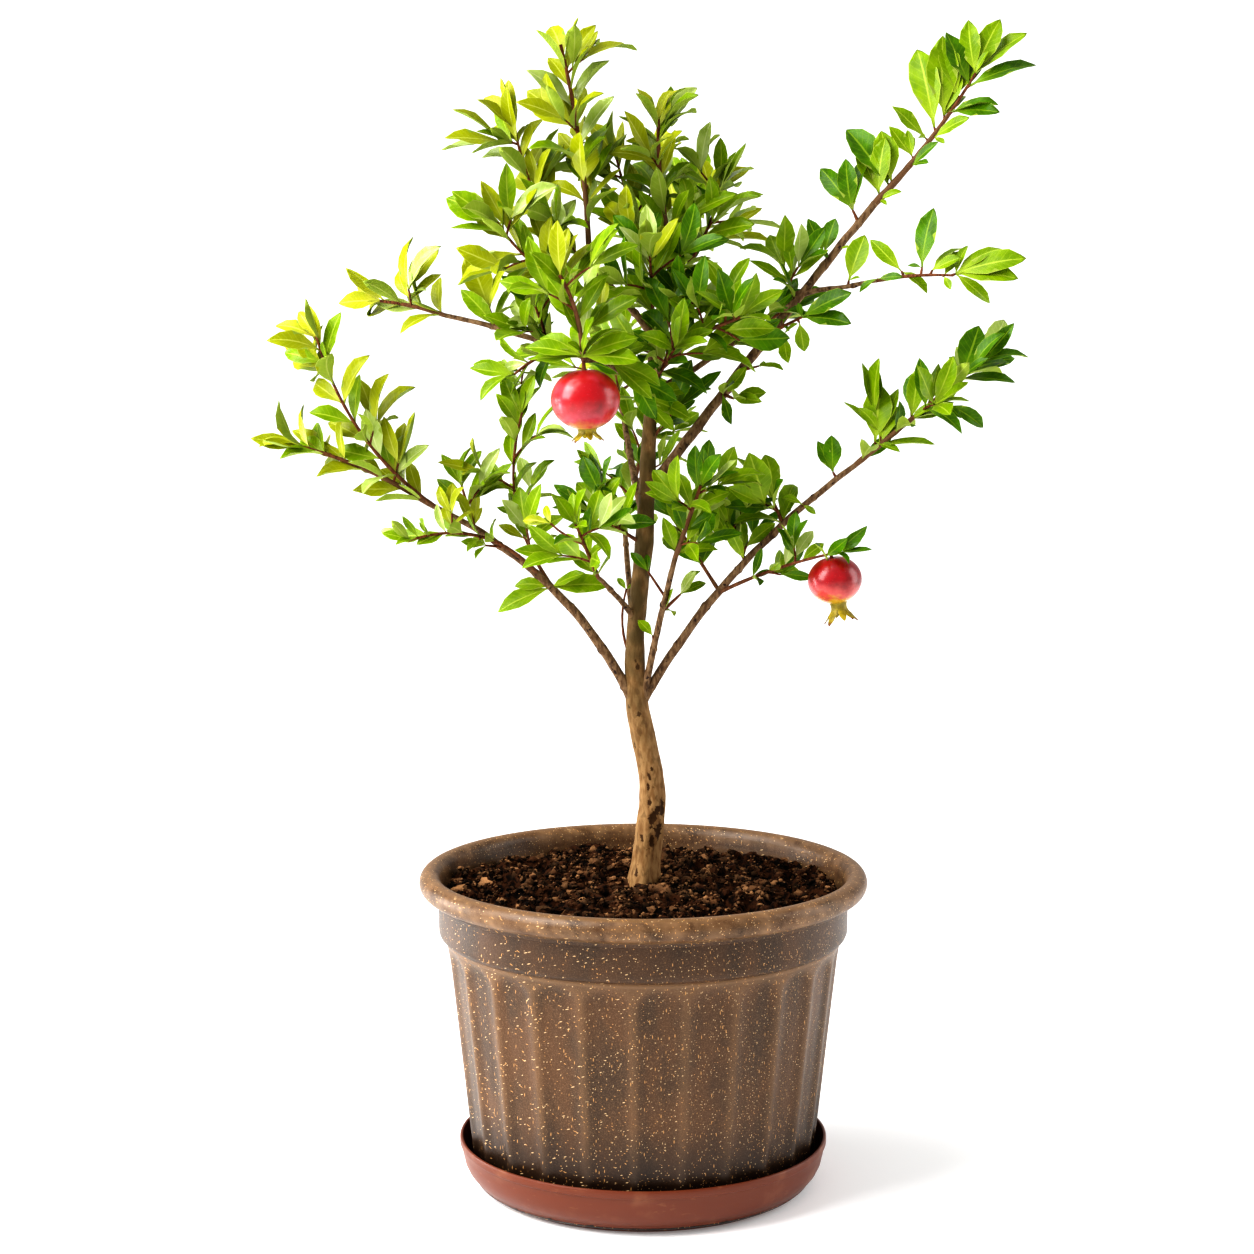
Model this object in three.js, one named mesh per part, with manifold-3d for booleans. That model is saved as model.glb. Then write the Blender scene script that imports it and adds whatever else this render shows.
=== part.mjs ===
// A young pomegranate tree in a fluted pot that stands on a saucer.
// Units are millimetres. +Z is up, -Y is the front, and the origin is the centre of the saucer's underside.
// The trunk and each bough are tapering solids. Each mass of foliage is one solid: a stem, its side twigs,
// their leaves and any fruit, fused together. Neighbouring solids keep CLEARANCE to each other.

import * as THREE from "three";
import { ConvexGeometry } from "three/addons/geometries/ConvexGeometry.js";
import { mergeVertices } from "three/addons/utils/BufferGeometryUtils.js";
import Module from "manifold-3d";

const wasm = await Module();
wasm.setup();

// ---------------------------------------------------------------- driving dimensions

const CLEARANCE = 0.3;
const FINEST = 0.05; // detail smaller than this is smoothed away where the parts of a mass are fused
const SLIVER = 0.01; // and smaller than this where a mass is cut clear of the boughs

const SAUCER = {
  rimRadius: 145,
  footRadius: 126,
  height: 39,
  lip: 6,
  wall: 3,
  floor: 3,
  segments: 40,
};

const POT = {
  bottom: SAUCER.floor + CLEARANCE,
  footRadius: 133,
  waistRadius: 154,
  waistHeight: 196,
  bandRadius: 160,
  bandBottom: 202,
  bandTop: 233,
  rimRadius: 175,
  rimHeight: 241,
  openingRadius: 158,
  top: 252,
  wall: 5,
  floor: 5,
  flutes: 24,
  firstRidge: -93, // degrees
  fluteDepth: 3.2,
  fluteHead: 14, // height of the rounded head of a flute
  segmentsPerFlute: 3,
};

const SOIL = {
  edgeHeight: 229,
  moundHeight: 238,
  flatRadius: 18,
  roughness: 2.2,
  rings: 3,
  segments: 30,
};

// Stations up the trunk: height above the soil, sideways place, radius. The first lies below the flat cut.
// The trunk leans right, swings back left at the first fork and straightens towards its tip.
const TRUNK = {
  sides: 12,
  steps: 14,
  stations: [
    { height: -8, x: -1, radius: 15.5 },
    { height: 0, x: 0, radius: 13.8 },
    { height: 20, x: 2.2, radius: 11.6 },
    { height: 80, x: 6.8, radius: 10.2 },
    { height: 145, x: -4.8, radius: 8.6 },
    { height: 195, x: -6.5, radius: 7.1 },
    { height: 270, x: 0.5, radius: 6.9 },
    { height: 335, x: 3.4, radius: 6.1 },
    { height: 433, x: 8.5, radius: 3.6 },
  ],
};

const LIMB_SIDES = 6;
const LIMB_STEP = 42; // length of one segment along a bough

const TWIG = {
  sides: 3,
  radius: 0.9,
  tipShare: 0.55, // a stem's or twig's tip radius as a share of its foot radius
  spread: 0.8, // how far a side twig leans out of its stem, against how far it follows it
  lift: 0.35, // how much it also turns to the light
  wander: 0.5, // how far, in radians, chance turns a side twig from the spiral's own turn
  shortening: 0.35, // how much shorter the last side twig is than the first, as a share
  smallest: 0.85, // the shortest twig that chance allows, as a share of its full length
  bare: 0.5, // the share of a side twig before its first leaves
  step: 64, // length of one segment along a stem
};

const LEAF = {
  length: 50,
  width: 0.4, // share of the length
  widestFrom: 0.4, // where along the leaf it is widest, and where it starts to narrow again
  widestTo: 0.7,
  narrowed: 0.92, // its width at widestTo as a share of its full width
  keel: 0.03, // depth of the midrib below the blade, as a share of the length
  guard: 0.015, // the clear space kept round a leaf, as a share of its length
  guardStart: 0.1, // the share of a leaf near its root that may touch its neighbours
  smallest: 0.8, // the smallest leaf's share of the full length
  nodeSpacing: 28,
  perNode: 3,
  firstShare: 0.1, // where on its twig the first leaf may stand, and where the last one does
  lastShare: 0.96,
  stagger: 5, // the step along the twig between the leaves of one node
  wander: 0.5, // how far, in radians, chance turns a leaf from the middle of its twig's face
  follow: 0.55, // a leaf's lean along its twig, out of it and up to the light
  followAtTip: 0.88,
  out: 0.8,
  lift: 0.1,
};

const LIGHT = { heading: -105, rise: 35, pull: 0.6 }; // where leaves turn their faces, and how strongly

// neck is the calyx's radius at the fruit, as a share of the fruit's diameter.
const FRUIT = { around: 8, rings: 5, squat: 0.88, neck: 0.12, stalkRadius: 1.5, stalkSides: 5, sunk: 3 };

const COLOURS = {
  saucer: { color: 0x8a4a35, roughness: 0.55 },
  pot: { color: 0x6b5140, roughness: 0.6 },
  soil: { color: 0x2e1c14, roughness: 0.95 },
  bark: { color: 0x7d6549, roughness: 0.85 },
  foliage: { color: 0x6f9a1e, roughness: 0.5 },
};

// The boughs. Each one leaves its parent at a share of the parent's length. heading is the compass turn
// from +X towards +Y and rise the climb, both in degrees, of the straight line from foot to tip. reach is
// that line's length. bow lifts the middle above it, as a share of the reach. foot and tip are radii.
const BOUGHS = {
  right_low: { on: "trunk", at: 0.337, heading: -8, rise: 49, reach: 254, bow: 0.055, foot: 3.7, tip: 2.1 },
  left_low: { on: "trunk", at: 0.365, heading: -171, rise: 44, reach: 222, bow: 0.06, foot: 3.5, tip: 2 },
  right_inner: { on: "right_low", at: 0.12, heading: -60, rise: 72, reach: 104, foot: 3, tip: 2 },
  back_low: { on: "trunk", at: 0.458, heading: 98, rise: 55, reach: 104, bow: -0.03, foot: 2.8, tip: 1.9 },
  left_small: {
    on: "trunk", at: 0.508, heading: -129, rise: 40, reach: 59, bow: 0.03, foot: 2.6, tip: 1.8,
  },
  back_mid: { on: "trunk", at: 0.666, heading: 100, rise: 38, reach: 125, bow: -0.04, foot: 3.2, tip: 2.1 },
  upper_right: {
    on: "trunk", at: 0.717, heading: 6, rise: 51.5, reach: 282, bow: 0.005, foot: 3.9, tip: 2.3,
  },
  upper_right_side: { on: "upper_right", at: 0.685, heading: -20, rise: 10, reach: 60, foot: 2, tip: 1.5 },
  front: { on: "trunk", at: 0.853, heading: -119, rise: 24, reach: 112, bow: 0.12, foot: 3, tip: 2 },
  right_mid: { on: "trunk", at: 0.887, heading: 18, rise: 30, reach: 72, foot: 2.6, tip: 1.9 },
  left_mid: { on: "trunk", at: 0.902, heading: 168, rise: 18, reach: 172, bow: 0.03, foot: 2.8, tip: 1.8 },
  back_high: { on: "trunk", at: 0.931, heading: 75, rise: 42, reach: 105, bow: -0.04, foot: 2.8, tip: 2 },
  front_right: { on: "trunk", at: 0.921, heading: -50, rise: 32, reach: 62, foot: 2.5, tip: 1.9 },
  crown_left: {
    on: "trunk", at: 0.985, heading: -168, rise: 47, reach: 74, bow: 0.03, foot: 2.9, tip: 2.1,
  },
  crown_right: { on: "trunk", at: 0.995, heading: 40, rise: 72, reach: 58, foot: 3.1, tip: 2.2 },
};

// The masses of foliage. The first values place the stem, as a bough's do. twigs is how many side twigs it
// has and spread the length of the longest. bare is the share of the stem before its first leaves.
const MASSES = {
  // the far tips, which give the crown its outline
  left_low_tip: {
    on: "left_low", at: 1, heading: -171, rise: 22, reach: 106, bow: 0.06, twigs: 2, spread: 28,
  },
  left_low_upright: {
    on: "left_low", at: 0.97, heading: -160, rise: 55, reach: 150, bow: -0.05, twigs: 2, spread: 26,
    bare: 0.25,
  },
  left_mid_tip: {
    on: "left_mid", at: 1, heading: 172, rise: 12, reach: 52, bow: 0.03, twigs: 1, spread: 20,
  },
  right_low_tip: {
    on: "right_low", at: 1, heading: -8, rise: 40, reach: 122, bow: -0.02, twigs: 3, spread: 28,
  },
  upper_right_tip: { on: "upper_right", at: 1, heading: 6, rise: 54, reach: 128, twigs: 3, spread: 26 },
  upper_right_side: {
    on: "upper_right_side", at: 1, heading: -22, rise: 14, reach: 68, bow: 0.03, twigs: 1, spread: 22,
  },
  leader: { on: "crown_left", at: 1, heading: -150, rise: 82, reach: 154, bow: 0.05, twigs: 3, spread: 26 },
  crown_left: {
    on: "crown_left", at: 0.55, heading: -162, rise: 33, reach: 128, bow: -0.12, twigs: 4, spread: 38,
    bare: 0.15,
  },
  crown_left_top: {
    on: "crown_left", at: 0.9, heading: 168, rise: 54, reach: 134, bow: -0.1, twigs: 3, spread: 34,
    bare: 0.15,
  },
  crown_right_top: {
    on: "crown_right", at: 1, heading: 180, rise: 87, reach: 104, bow: -0.03, twigs: 4, spread: 34,
  },
  crown_top: {
    on: "crown_right", at: 0.85, heading: 155, rise: 62, reach: 96, bow: -0.06, twigs: 3, spread: 34,
  },
  crown_right: {
    on: "crown_right", at: 0.55, heading: 42, rise: 56, reach: 94, bow: -0.09, twigs: 4, spread: 36,
    bare: 0.15,
  },
  crown_right_low: {
    on: "crown_right", at: 0.3, heading: -40, rise: 12, reach: 40, bow: -0.05, twigs: 2, spread: 28,
    bare: 0.15,
  },
  // the fruit and what hangs over it
  front_fruit: {
    on: "front", at: 1, heading: -120, rise: 62, reach: 70, bow: 0.1, twigs: 3, spread: 36,
    fruit: { at: 0.07, diameter: 52, stalk: 11, calyx: 9, flare: 9, lean: 10 },
  },
  right_low_fruit: {
    on: "right_low", at: 0.43, heading: -31, rise: 20, reach: 112, bow: 0.03, twigs: 3, spread: 24,
    leaf: 0.7,
    fruit: { at: 0.93, diameter: 40, stalk: 2, calyx: 17, flare: 12, lean: 9 },
  },
  // along the boughs
  left_low_mid: { on: "left_low", at: 0.83, heading: 150, rise: 70, reach: 34, twigs: 1, spread: 24 },
  left_inner: {
    on: "left_low", at: 0.46, heading: 172, rise: 78, reach: 142, bow: -0.1, twigs: 5, spread: 42,
    bare: 0.2,
  },
  left_twig: {
    on: "left_low", at: 0.53, heading: -149, rise: 19, reach: 124, bow: 0.11, twigs: 1, spread: 20,
    bare: 0.4, leaf: 0.6,
  },
  left_mid_spur: { on: "left_mid", at: 0.76, heading: 150, rise: 70, reach: 16, twigs: 0, spread: 0 },
  left_mid_root: { on: "left_mid", at: 0.5, heading: -120, rise: 55, reach: 40, twigs: 2, spread: 34 },
  left_mid_under: {
    on: "left_mid", at: 0.45, heading: -165, rise: -28, reach: 56, bow: 0.05, twigs: 2, spread: 34,
  },
  right_low_mid: { on: "right_low", at: 0.56, heading: 150, rise: 62, reach: 38, twigs: 3, spread: 28 },
  right_low_spur: { on: "right_low", at: 0.72, heading: 165, rise: 66, reach: 20, twigs: 1, spread: 20 },
  right_cross: {
    on: "right_low", at: 0.4, heading: 128, rise: 48, reach: 70, twigs: 1, spread: 28, bare: 0.2,
  },
  right_inner: { on: "right_inner", at: 1, heading: -50, rise: 64, reach: 78, twigs: 4, spread: 36 },
  right_inner_low: {
    on: "right_inner", at: 0.62, heading: 20, rise: 40, reach: 20, twigs: 0, spread: 0, leaf: 0.6,
  },
  upper_right_mid: { on: "upper_right", at: 0.68, heading: 150, rise: 78, reach: 40, twigs: 2, spread: 27 },
  upper_right_spur: { on: "upper_right", at: 0.95, heading: 172, rise: 66, reach: 24, twigs: 0, spread: 0 },
  upper_right_low: { on: "upper_right", at: 0.54, heading: -25, rise: 14, reach: 34, twigs: 1, spread: 20 },
  upper_right_foot: {
    on: "upper_right", at: 0.34, heading: -60, rise: -10, reach: 16, twigs: 0, spread: 0, leaf: 0.7,
  },
  right_mid: { on: "right_mid", at: 1, heading: 22, rise: 34, reach: 62, twigs: 3, spread: 36 },
  left_small: { on: "left_small", at: 1, heading: -112, rise: 46, reach: 62, twigs: 3, spread: 32 },
  trunk_left: {
    on: "trunk", at: 0.627, heading: -158, rise: 32, reach: 52, twigs: 2, spread: 32, bare: 0.3,
  },
  trunk_right: {
    on: "trunk", at: 0.804, heading: -15, rise: 52, reach: 34, twigs: 1, spread: 28, bare: 0.4,
  },
  front_right: { on: "front_right", at: 1, heading: -30, rise: 30, reach: 46, twigs: 4, spread: 34 },
  front_top: { on: "trunk", at: 0.985, heading: -95, rise: 56, reach: 76, twigs: 4, spread: 38, bare: 0.3 },
  front_middle: {
    on: "trunk", at: 0.902, heading: -72, rise: 30, reach: 62, twigs: 4, spread: 36, bare: 0.4,
  },
  back_low: { on: "back_low", at: 1, heading: 70, rise: 52, reach: 90, twigs: 6, spread: 42 },
  back_mid: { on: "back_mid", at: 1, heading: 105, rise: 40, reach: 88, twigs: 6, spread: 44 },
  back_high: { on: "back_high", at: 1, heading: 80, rise: 46, reach: 92, twigs: 6, spread: 44 },
};

// leaf is the size of a mass's leaves as a share of LEAF.length.
const MASS_DEFAULTS = { bow: 0, bare: 0.05, leaf: 1 };
const STEM_FOOT = 1.5; // the thickest foot radius of a stem that leaves the side of a limb

// ---------------------------------------------------------------- tools

/** A seeded stream of numbers from 0 to 1, the same on every run. */
function stream(seed) {
  let state = seed >>> 0;
  return () => {
    state = (state + 0x6d2b79f5) >>> 0;
    let mixed = Math.imul(state ^ (state >>> 15), 1 | state);
    mixed = (mixed + Math.imul(mixed ^ (mixed >>> 7), 61 | mixed)) ^ mixed;
    return ((mixed ^ (mixed >>> 14)) >>> 0) / 4294967296;
  };
}

/** A seed worked out from a name, so that each mass grows in its own way. */
function seedOf(name) {
  return [...name].reduce((sum, letter) => (sum * 31 + letter.charCodeAt(0)) >>> 0, 7);
}

/** The closed solid of a geometry whose faces point outwards. */
function solidOf(geometry) {
  const bare = geometry.clone();
  bare.deleteAttribute("normal");
  bare.deleteAttribute("uv");
  const merged = mergeVertices(bare, 1e-3);
  const index = merged.index.array;
  const kept = [];
  for (let i = 0; i < index.length; i += 3) {
    const [a, b, c] = index.slice(i, i + 3);
    if (a !== b && b !== c && a !== c) kept.push(a, b, c);
  }
  return new wasm.Manifold(
    new wasm.Mesh({
      numProp: 3,
      vertProperties: new Float32Array(merged.attributes.position.array),
      triVerts: new Uint32Array(kept),
    }),
  );
}

/** The flat-shaded geometry of a solid. */
function geometryOf(solid) {
  const mesh = solid.getMesh();
  const geometry = new THREE.BufferGeometry();
  const places = new Float32Array(mesh.numVert * 3);
  for (let i = 0; i < mesh.numVert; i++) {
    places.set(mesh.vertProperties.subarray(i * mesh.numProp, i * mesh.numProp + 3), i * 3);
  }
  geometry.setAttribute("position", new THREE.BufferAttribute(places, 3));
  geometry.setIndex(new THREE.BufferAttribute(new Uint32Array(mesh.triVerts), 1));
  return geometry;
}

/** Whether two bounding boxes overlap. */
function boxesMeet(a, b) {
  return [0, 1, 2].every((axis) => a.min[axis] < b.max[axis] && b.min[axis] < a.max[axis]);
}

/** The largest piece of a solid that a cut may have parted. */
function largestPiece(solid) {
  return solid.decompose().reduce((best, piece) => (piece.volume() > best.volume() ? piece : best));
}

/** A solid of revolution about Z. The profile holds [radius, height] pairs from axis to axis. */
function revolve(profile, segments, reshape = () => {}) {
  const points = profile.map(([radius, height]) => new THREE.Vector2(radius, height));
  const geometry = new THREE.LatheGeometry(points, segments).rotateX(Math.PI / 2);
  const place = geometry.getAttribute("position");
  const point = new THREE.Vector3();
  for (let i = 0; i < place.count; i++) {
    point.fromBufferAttribute(place, i);
    reshape(point, i % points.length, Math.floor(i / points.length) % segments);
    place.setXYZ(i, point.x, point.y, point.z);
  }
  return solidOf(geometry);
}

/** The unit vector with that compass heading and climb, in degrees. */
function direction(heading, rise) {
  const turn = THREE.MathUtils.degToRad(heading);
  const climb = THREE.MathUtils.degToRad(rise);
  return new THREE.Vector3(
    Math.cos(turn) * Math.cos(climb),
    Math.sin(turn) * Math.cos(climb),
    Math.sin(climb),
  );
}

/** A curve from a foot along a straight line of the given reach, its middle lifted square to that line. */
function bowedCurve(foot, along, reach, bow) {
  const up = new THREE.Vector3(0, 0, 1).addScaledVector(along, -along.z).normalize();
  const tip = foot.clone().addScaledVector(along, reach);
  const middle = foot.clone().add(tip).multiplyScalar(0.5).addScaledVector(up, 2 * bow * reach);
  return new THREE.QuadraticBezierCurve3(foot, middle, tip);
}

/** The point at a share of a limb's length, on the straight line between two of its rings. */
function pointOn({ curve, steps }, share) {
  const step = Math.min(steps - 1, Math.floor(share * steps));
  return curve.getPointAt(step / steps).lerp(curve.getPointAt((step + 1) / steps), share * steps - step);
}

/** A closed round limb along a curve, with a radius that changes with the share of its length. */
function limbSolid({ curve, radiusAt, sides, steps }, growth = 0) {
  const frames = curve.computeFrenetFrames(steps, false);
  const tube = new THREE.CylinderGeometry(1, 1, 1, sides, steps);
  const place = tube.getAttribute("position");
  const point = new THREE.Vector3();
  for (let i = 0; i < place.count; i++) {
    const step = Math.round((0.5 + place.getY(i)) * steps);
    const radius = radiusAt(step / steps) + growth;
    curve.getPointAt(step / steps, point);
    point.addScaledVector(frames.normals[step], place.getX(i) * radius);
    point.addScaledVector(frames.binormals[step], -place.getZ(i) * radius);
    place.setXYZ(i, point.x, point.y, point.z);
  }
  return solidOf(tube);
}

// ---------------------------------------------------------------- saucer, pot and soil

/** A shallow dish with a flat underside, a flared wall and a lip. */
function saucerSolid() {
  const { rimRadius, footRadius, height, lip, wall, floor, segments } = SAUCER;
  return revolve(
    [
      [0, 0],
      [footRadius, 0],
      [footRadius + 10, 7],
      [rimRadius - 4, height - 18],
      [rimRadius - 1.5, height - lip],
      [rimRadius, height - 1],
      [rimRadius - 1.5, height],
      [rimRadius - wall, height - 1],
      [rimRadius - wall - 4, height - 18],
      [footRadius + 7, floor + 2],
      [footRadius + 4, floor],
      [0, floor],
    ],
    segments,
  );
}

/** How deep a flute is at a place on the body: a hollow groove with a round head. */
function fluteDepthAt(angle, height) {
  const pitch = (2 * Math.PI) / POT.flutes;
  const turn = (angle - THREE.MathUtils.degToRad(POT.firstRidge)) / pitch;
  const across = 2 * (turn - Math.floor(turn)) - 1;
  const head = Math.max(0, height + POT.fluteHead - POT.waistHeight) / POT.fluteHead;
  return POT.fluteDepth * Math.max(0, 1 - across * across - head * head);
}

/** The profile of the pot's hollow, from the middle of its floor up to the rim, drawn in by a gap. */
function hollowProfile(gap) {
  const { bottom, floor, wall, fluteDepth, footRadius, waistRadius, waistHeight, bandRadius } = POT;
  return [
    [0, bottom + floor + gap],
    [footRadius - fluteDepth - wall - gap, bottom + floor + gap],
    [waistRadius - fluteDepth - wall - gap, waistHeight - wall / 2 + gap],
    [bandRadius - wall - gap, POT.bandBottom + wall + gap],
    [bandRadius - wall - gap, POT.bandTop],
  ];
}

/** The fluted pot: tapering body, plain band under the rim, rolled rim, and a hollow inside. */
function potSolid() {
  const { bottom, footRadius, waistRadius, waistHeight, bandRadius, bandBottom, bandTop, fluteHead } = POT;
  const slope = (waistRadius - footRadius) / (waistHeight - bottom);
  const body = [bottom + 8, waistHeight - fluteHead, waistHeight - fluteHead / 2, waistHeight];
  const outside = [
    [0, bottom],
    [footRadius - 7, bottom],
    ...body.map((height) => [footRadius + slope * (height - bottom), height]),
    [bandRadius - 1.5, bandBottom - 2],
    [bandRadius, bandBottom + 3],
    [bandRadius, bandTop],
    [bandRadius + 9, bandTop + 0.8],
    [POT.rimRadius, POT.rimHeight],
    [POT.rimRadius - 2.5, POT.top - 5],
    [POT.rimRadius - 9, POT.top],
    [POT.openingRadius, POT.top - 2.5],
  ];
  const inside = hollowProfile(0).reverse();
  const fluted = new Set(body.map((_, i) => i + 2));
  return revolve([...outside, ...inside], POT.flutes * POT.segmentsPerFlute, (point, station) => {
    if (!fluted.has(station)) return;
    const radius = Math.hypot(point.x, point.y);
    const share = 1 - fluteDepthAt(Math.atan2(point.y, point.x), point.z) / radius;
    point.set(point.x * share, point.y * share, point.z);
  });
}

/** The soil that fills the pot: a rough mound with a flat place under the trunk. */
function soilSolid() {
  const edge = POT.bandRadius - POT.wall - CLEARANCE;
  const rings = Array.from({ length: SOIL.rings }, (_, i) => {
    const share = 1 - (i + 1) / (SOIL.rings + 1);
    const drop = (SOIL.moundHeight - SOIL.edgeHeight) * share ** 2;
    return [SOIL.flatRadius + (edge - SOIL.flatRadius) * share, SOIL.moundHeight - drop];
  });
  const random = stream(seedOf("soil"));
  const lumpCount = SOIL.rings * SOIL.segments;
  const lumps = Array.from({ length: lumpCount }, () => (2 * random() - 1) * SOIL.roughness);
  const below = [...hollowProfile(CLEARANCE).slice(0, -1), [edge, SOIL.edgeHeight]];
  const above = [
    [SOIL.flatRadius, SOIL.moundHeight],
    [0, SOIL.moundHeight],
  ];
  return revolve([...below, ...rings, ...above], SOIL.segments, (point, station, column) => {
    const ring = station - below.length;
    if (ring >= 0 && ring < SOIL.rings) point.z += lumps[ring * SOIL.segments + column];
  });
}

// ---------------------------------------------------------------- trunk and boughs

/** The trunk's curve and radius, from its stations. */
function trunkLimb() {
  const foot = SOIL.moundHeight + CLEARANCE;
  const { stations, sides, steps } = TRUNK;
  const curve = new THREE.CatmullRomCurve3(
    stations.map(({ height, x }) => new THREE.Vector3(x, 0, foot + height)),
    false,
    "centripetal",
  );
  const lowest = stations[0].height;
  const highest = stations.at(-1).height;
  const radiusAt = (share) => {
    const height = lowest + share * (highest - lowest);
    const above = Math.max(1, stations.findIndex((station) => station.height >= height - 1e-6));
    const [low, high] = [stations[above - 1], stations[above]];
    const part = (height - low.height) / (high.height - low.height);
    return low.radius + (high.radius - low.radius) * part;
  };
  return { curve, radiusAt, sides, steps };
}

/** A bough's or a stem's curve and radius, from its row in a table and its parent limb. */
function childLimb(row, parent, sides, step) {
  const along = direction(row.heading, row.rise);
  const foot = pointOn(parent, row.at);
  if (row.at >= 1) foot.addScaledVector(parent.curve.getTangentAt(1), CLEARANCE);
  const curve = bowedCurve(foot, along, row.reach, row.bow);
  return {
    curve,
    radiusAt: (share) => row.foot + (row.tip - row.foot) * share,
    sides,
    steps: Math.max(1, Math.round(row.reach / step)),
  };
}

/** The largest piece of a solid that is left when others are cut out of it. */
function cutClear(solid, others) {
  const met = others.filter((other) => boxesMeet(solid.boundingBox(), other.boundingBox()));
  return largestPiece(met.reduce((left, other) => left.subtract(other), solid));
}

/** A limb's solid, cut flat above the soil and clear of other limbs. */
function clearedSolid(limb, others) {
  return cutClear(limbSolid(limb).trimByPlane([0, 0, 1], SOIL.moundHeight + CLEARANCE), others);
}

// ---------------------------------------------------------------- leaves, fruit and masses

/** Whether a solid shares any space with one of the others. */
function touches(solid, others) {
  const box = solid.boundingBox();
  return others.some((other) => boxesMeet(box, other.boundingBox()) && solid.intersect(other).volume() > 0);
}

/** A leaf of unit length along +X with its flat face towards +Z, made larger all round by a growth. */
function unitLeaf(growth) {
  const half = LEAF.width / 2;
  const points = [
    [0, 0, 0],
    [LEAF.widestFrom, half, LEAF.keel],
    [LEAF.widestFrom, -half, LEAF.keel],
    [LEAF.widestTo, half * LEAF.narrowed, LEAF.keel],
    [LEAF.widestTo, -half * LEAF.narrowed, LEAF.keel],
    [1, 0, 0],
  ];
  const grown = points.flatMap(([x, y, z]) => {
    const outline = [x + Math.sign(x - 0.5) * growth, y + Math.sign(y) * growth];
    return [z - growth, z + growth].map((height) => new THREE.Vector3(...outline, height));
  });
  return solidOf(new ConvexGeometry(grown));
}

const TO_LIGHT = direction(LIGHT.heading, LIGHT.rise);
const BLADE = unitLeaf(0);
const BLADE_GUARD = unitLeaf(LEAF.guard);
const OUTER_GUARD = BLADE_GUARD.trimByPlane([1, 0, 0], LEAF.guardStart);
const GOLDEN_ANGLE = Math.PI * (3 - Math.sqrt(5));

/** A level unit vector with a heading left to chance. */
function sideways(random) {
  return direction(random() * 360, 0);
}

/** The matrix that lays the unit leaf at a point, along a direction, with its face turned to the light. */
function leafMatrix(root, along, face, length) {
  const side = new THREE.Vector3().crossVectors(face, along).normalize();
  const normal = new THREE.Vector3().crossVectors(along, side);
  const matrix = new THREE.Matrix4().makeBasis(
    along.clone().multiplyScalar(length),
    side.multiplyScalar(length),
    normal.multiplyScalar(length),
  );
  return matrix.setPosition(root);
}

/** A direction that leans out of a limb, at a turn round it from its first face, and up to the light. */
function leaning({ curve, sides, steps }, share, turn, follow, out, lift) {
  const step = Math.min(steps - 1, Math.floor(share * steps));
  const { normals, binormals, tangents } = curve.computeFrenetFrames(steps, false);
  const angle = turn + Math.PI / sides;
  const lean = tangents[step].clone().multiplyScalar(follow);
  lean.addScaledVector(normals[step], Math.sin(angle) * out);
  lean.addScaledVector(binormals[step], -Math.cos(angle) * out);
  lean.z += lift;
  return lean.normalize();
}

/** The side twigs of a mass's stem, by the seeded rule: a golden-angle spiral with a little chance. */
function sideTwigs(mass, stem) {
  const random = stream(seedOf(mass.name));
  const start = random() * 2 * Math.PI;
  return Array.from({ length: mass.twigs }, (_, i) => {
    const share = mass.bare + ((1 - mass.bare) * (i + 0.5)) / mass.twigs;
    const turn = start + i * GOLDEN_ANGLE + (random() - 0.5) * TWIG.wander;
    const chance = TWIG.smallest + (1 - TWIG.smallest) * random();
    const length = mass.spread * (1 - TWIG.shortening * share) * chance;
    const along = leaning(stem, share, turn, 1 - TWIG.spread, TWIG.spread, TWIG.lift);
    return {
      curve: bowedCurve(pointOn(stem, share), along, length, 0),
      radiusAt: (part) => TWIG.radius * (1 - (1 - TWIG.tipShare) * part),
      sides: TWIG.sides,
      steps: 1,
      length,
    };
  });
}

/** The places of the leaves on a stem or twig: clusters at even steps, one leaf on each face of the twig. */
function leafPlaces(length, bare, random) {
  const places = [];
  const nodes = Math.max(1, Math.round((length * (1 - bare)) / LEAF.nodeSpacing));
  for (let node = 0; node <= nodes; node++) {
    const follow = node === nodes ? LEAF.followAtTip : LEAF.follow;
    for (let leaf = 0; leaf < LEAF.perNode; leaf++) {
      const share = LEAF.lastShare - ((1 - bare) * (nodes - node)) / nodes - (leaf * LEAF.stagger) / length;
      const turn = (leaf * 2 * Math.PI) / LEAF.perNode + (random() - 0.5) * LEAF.wander;
      const size = LEAF.smallest + (1 - LEAF.smallest) * random();
      if (share > LEAF.firstShare) places.push({ share, turn, size, follow });
    }
  }
  return places;
}

/** A round fruit that hangs under a point: its stalk, its body and the crown of its calyx. */
function fruitSolids(point, { diameter, stalk, calyx, flare, lean }) {
  const { around, rings, squat, neck, stalkRadius, stalkSides, sunk } = FRUIT;
  const height = diameter * squat;
  const body = new THREE.SphereGeometry(diameter / 2, around, rings)
    .rotateX(Math.PI / 2)
    .scale(1, 1, squat)
    .translate(0, 0, -stalk - height / 2);
  const crown = new THREE.CylinderGeometry(diameter * neck, flare, calyx + sunk, around - 2)
    .rotateX(Math.PI / 2)
    .translate(0, 0, -stalk - height - (calyx - sunk) / 2);
  const stem = new THREE.CylinderGeometry(stalkRadius, stalkRadius, stalk + sunk, stalkSides)
    .rotateX(Math.PI / 2)
    .translate(0, 0, -(stalk + sunk) / 2);
  const tilt = THREE.MathUtils.degToRad(-lean);
  return [body, crown, stem].map((shape) =>
    solidOf(shape.rotateY(tilt).translate(point.x, point.y, point.z)),
  );
}

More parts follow.
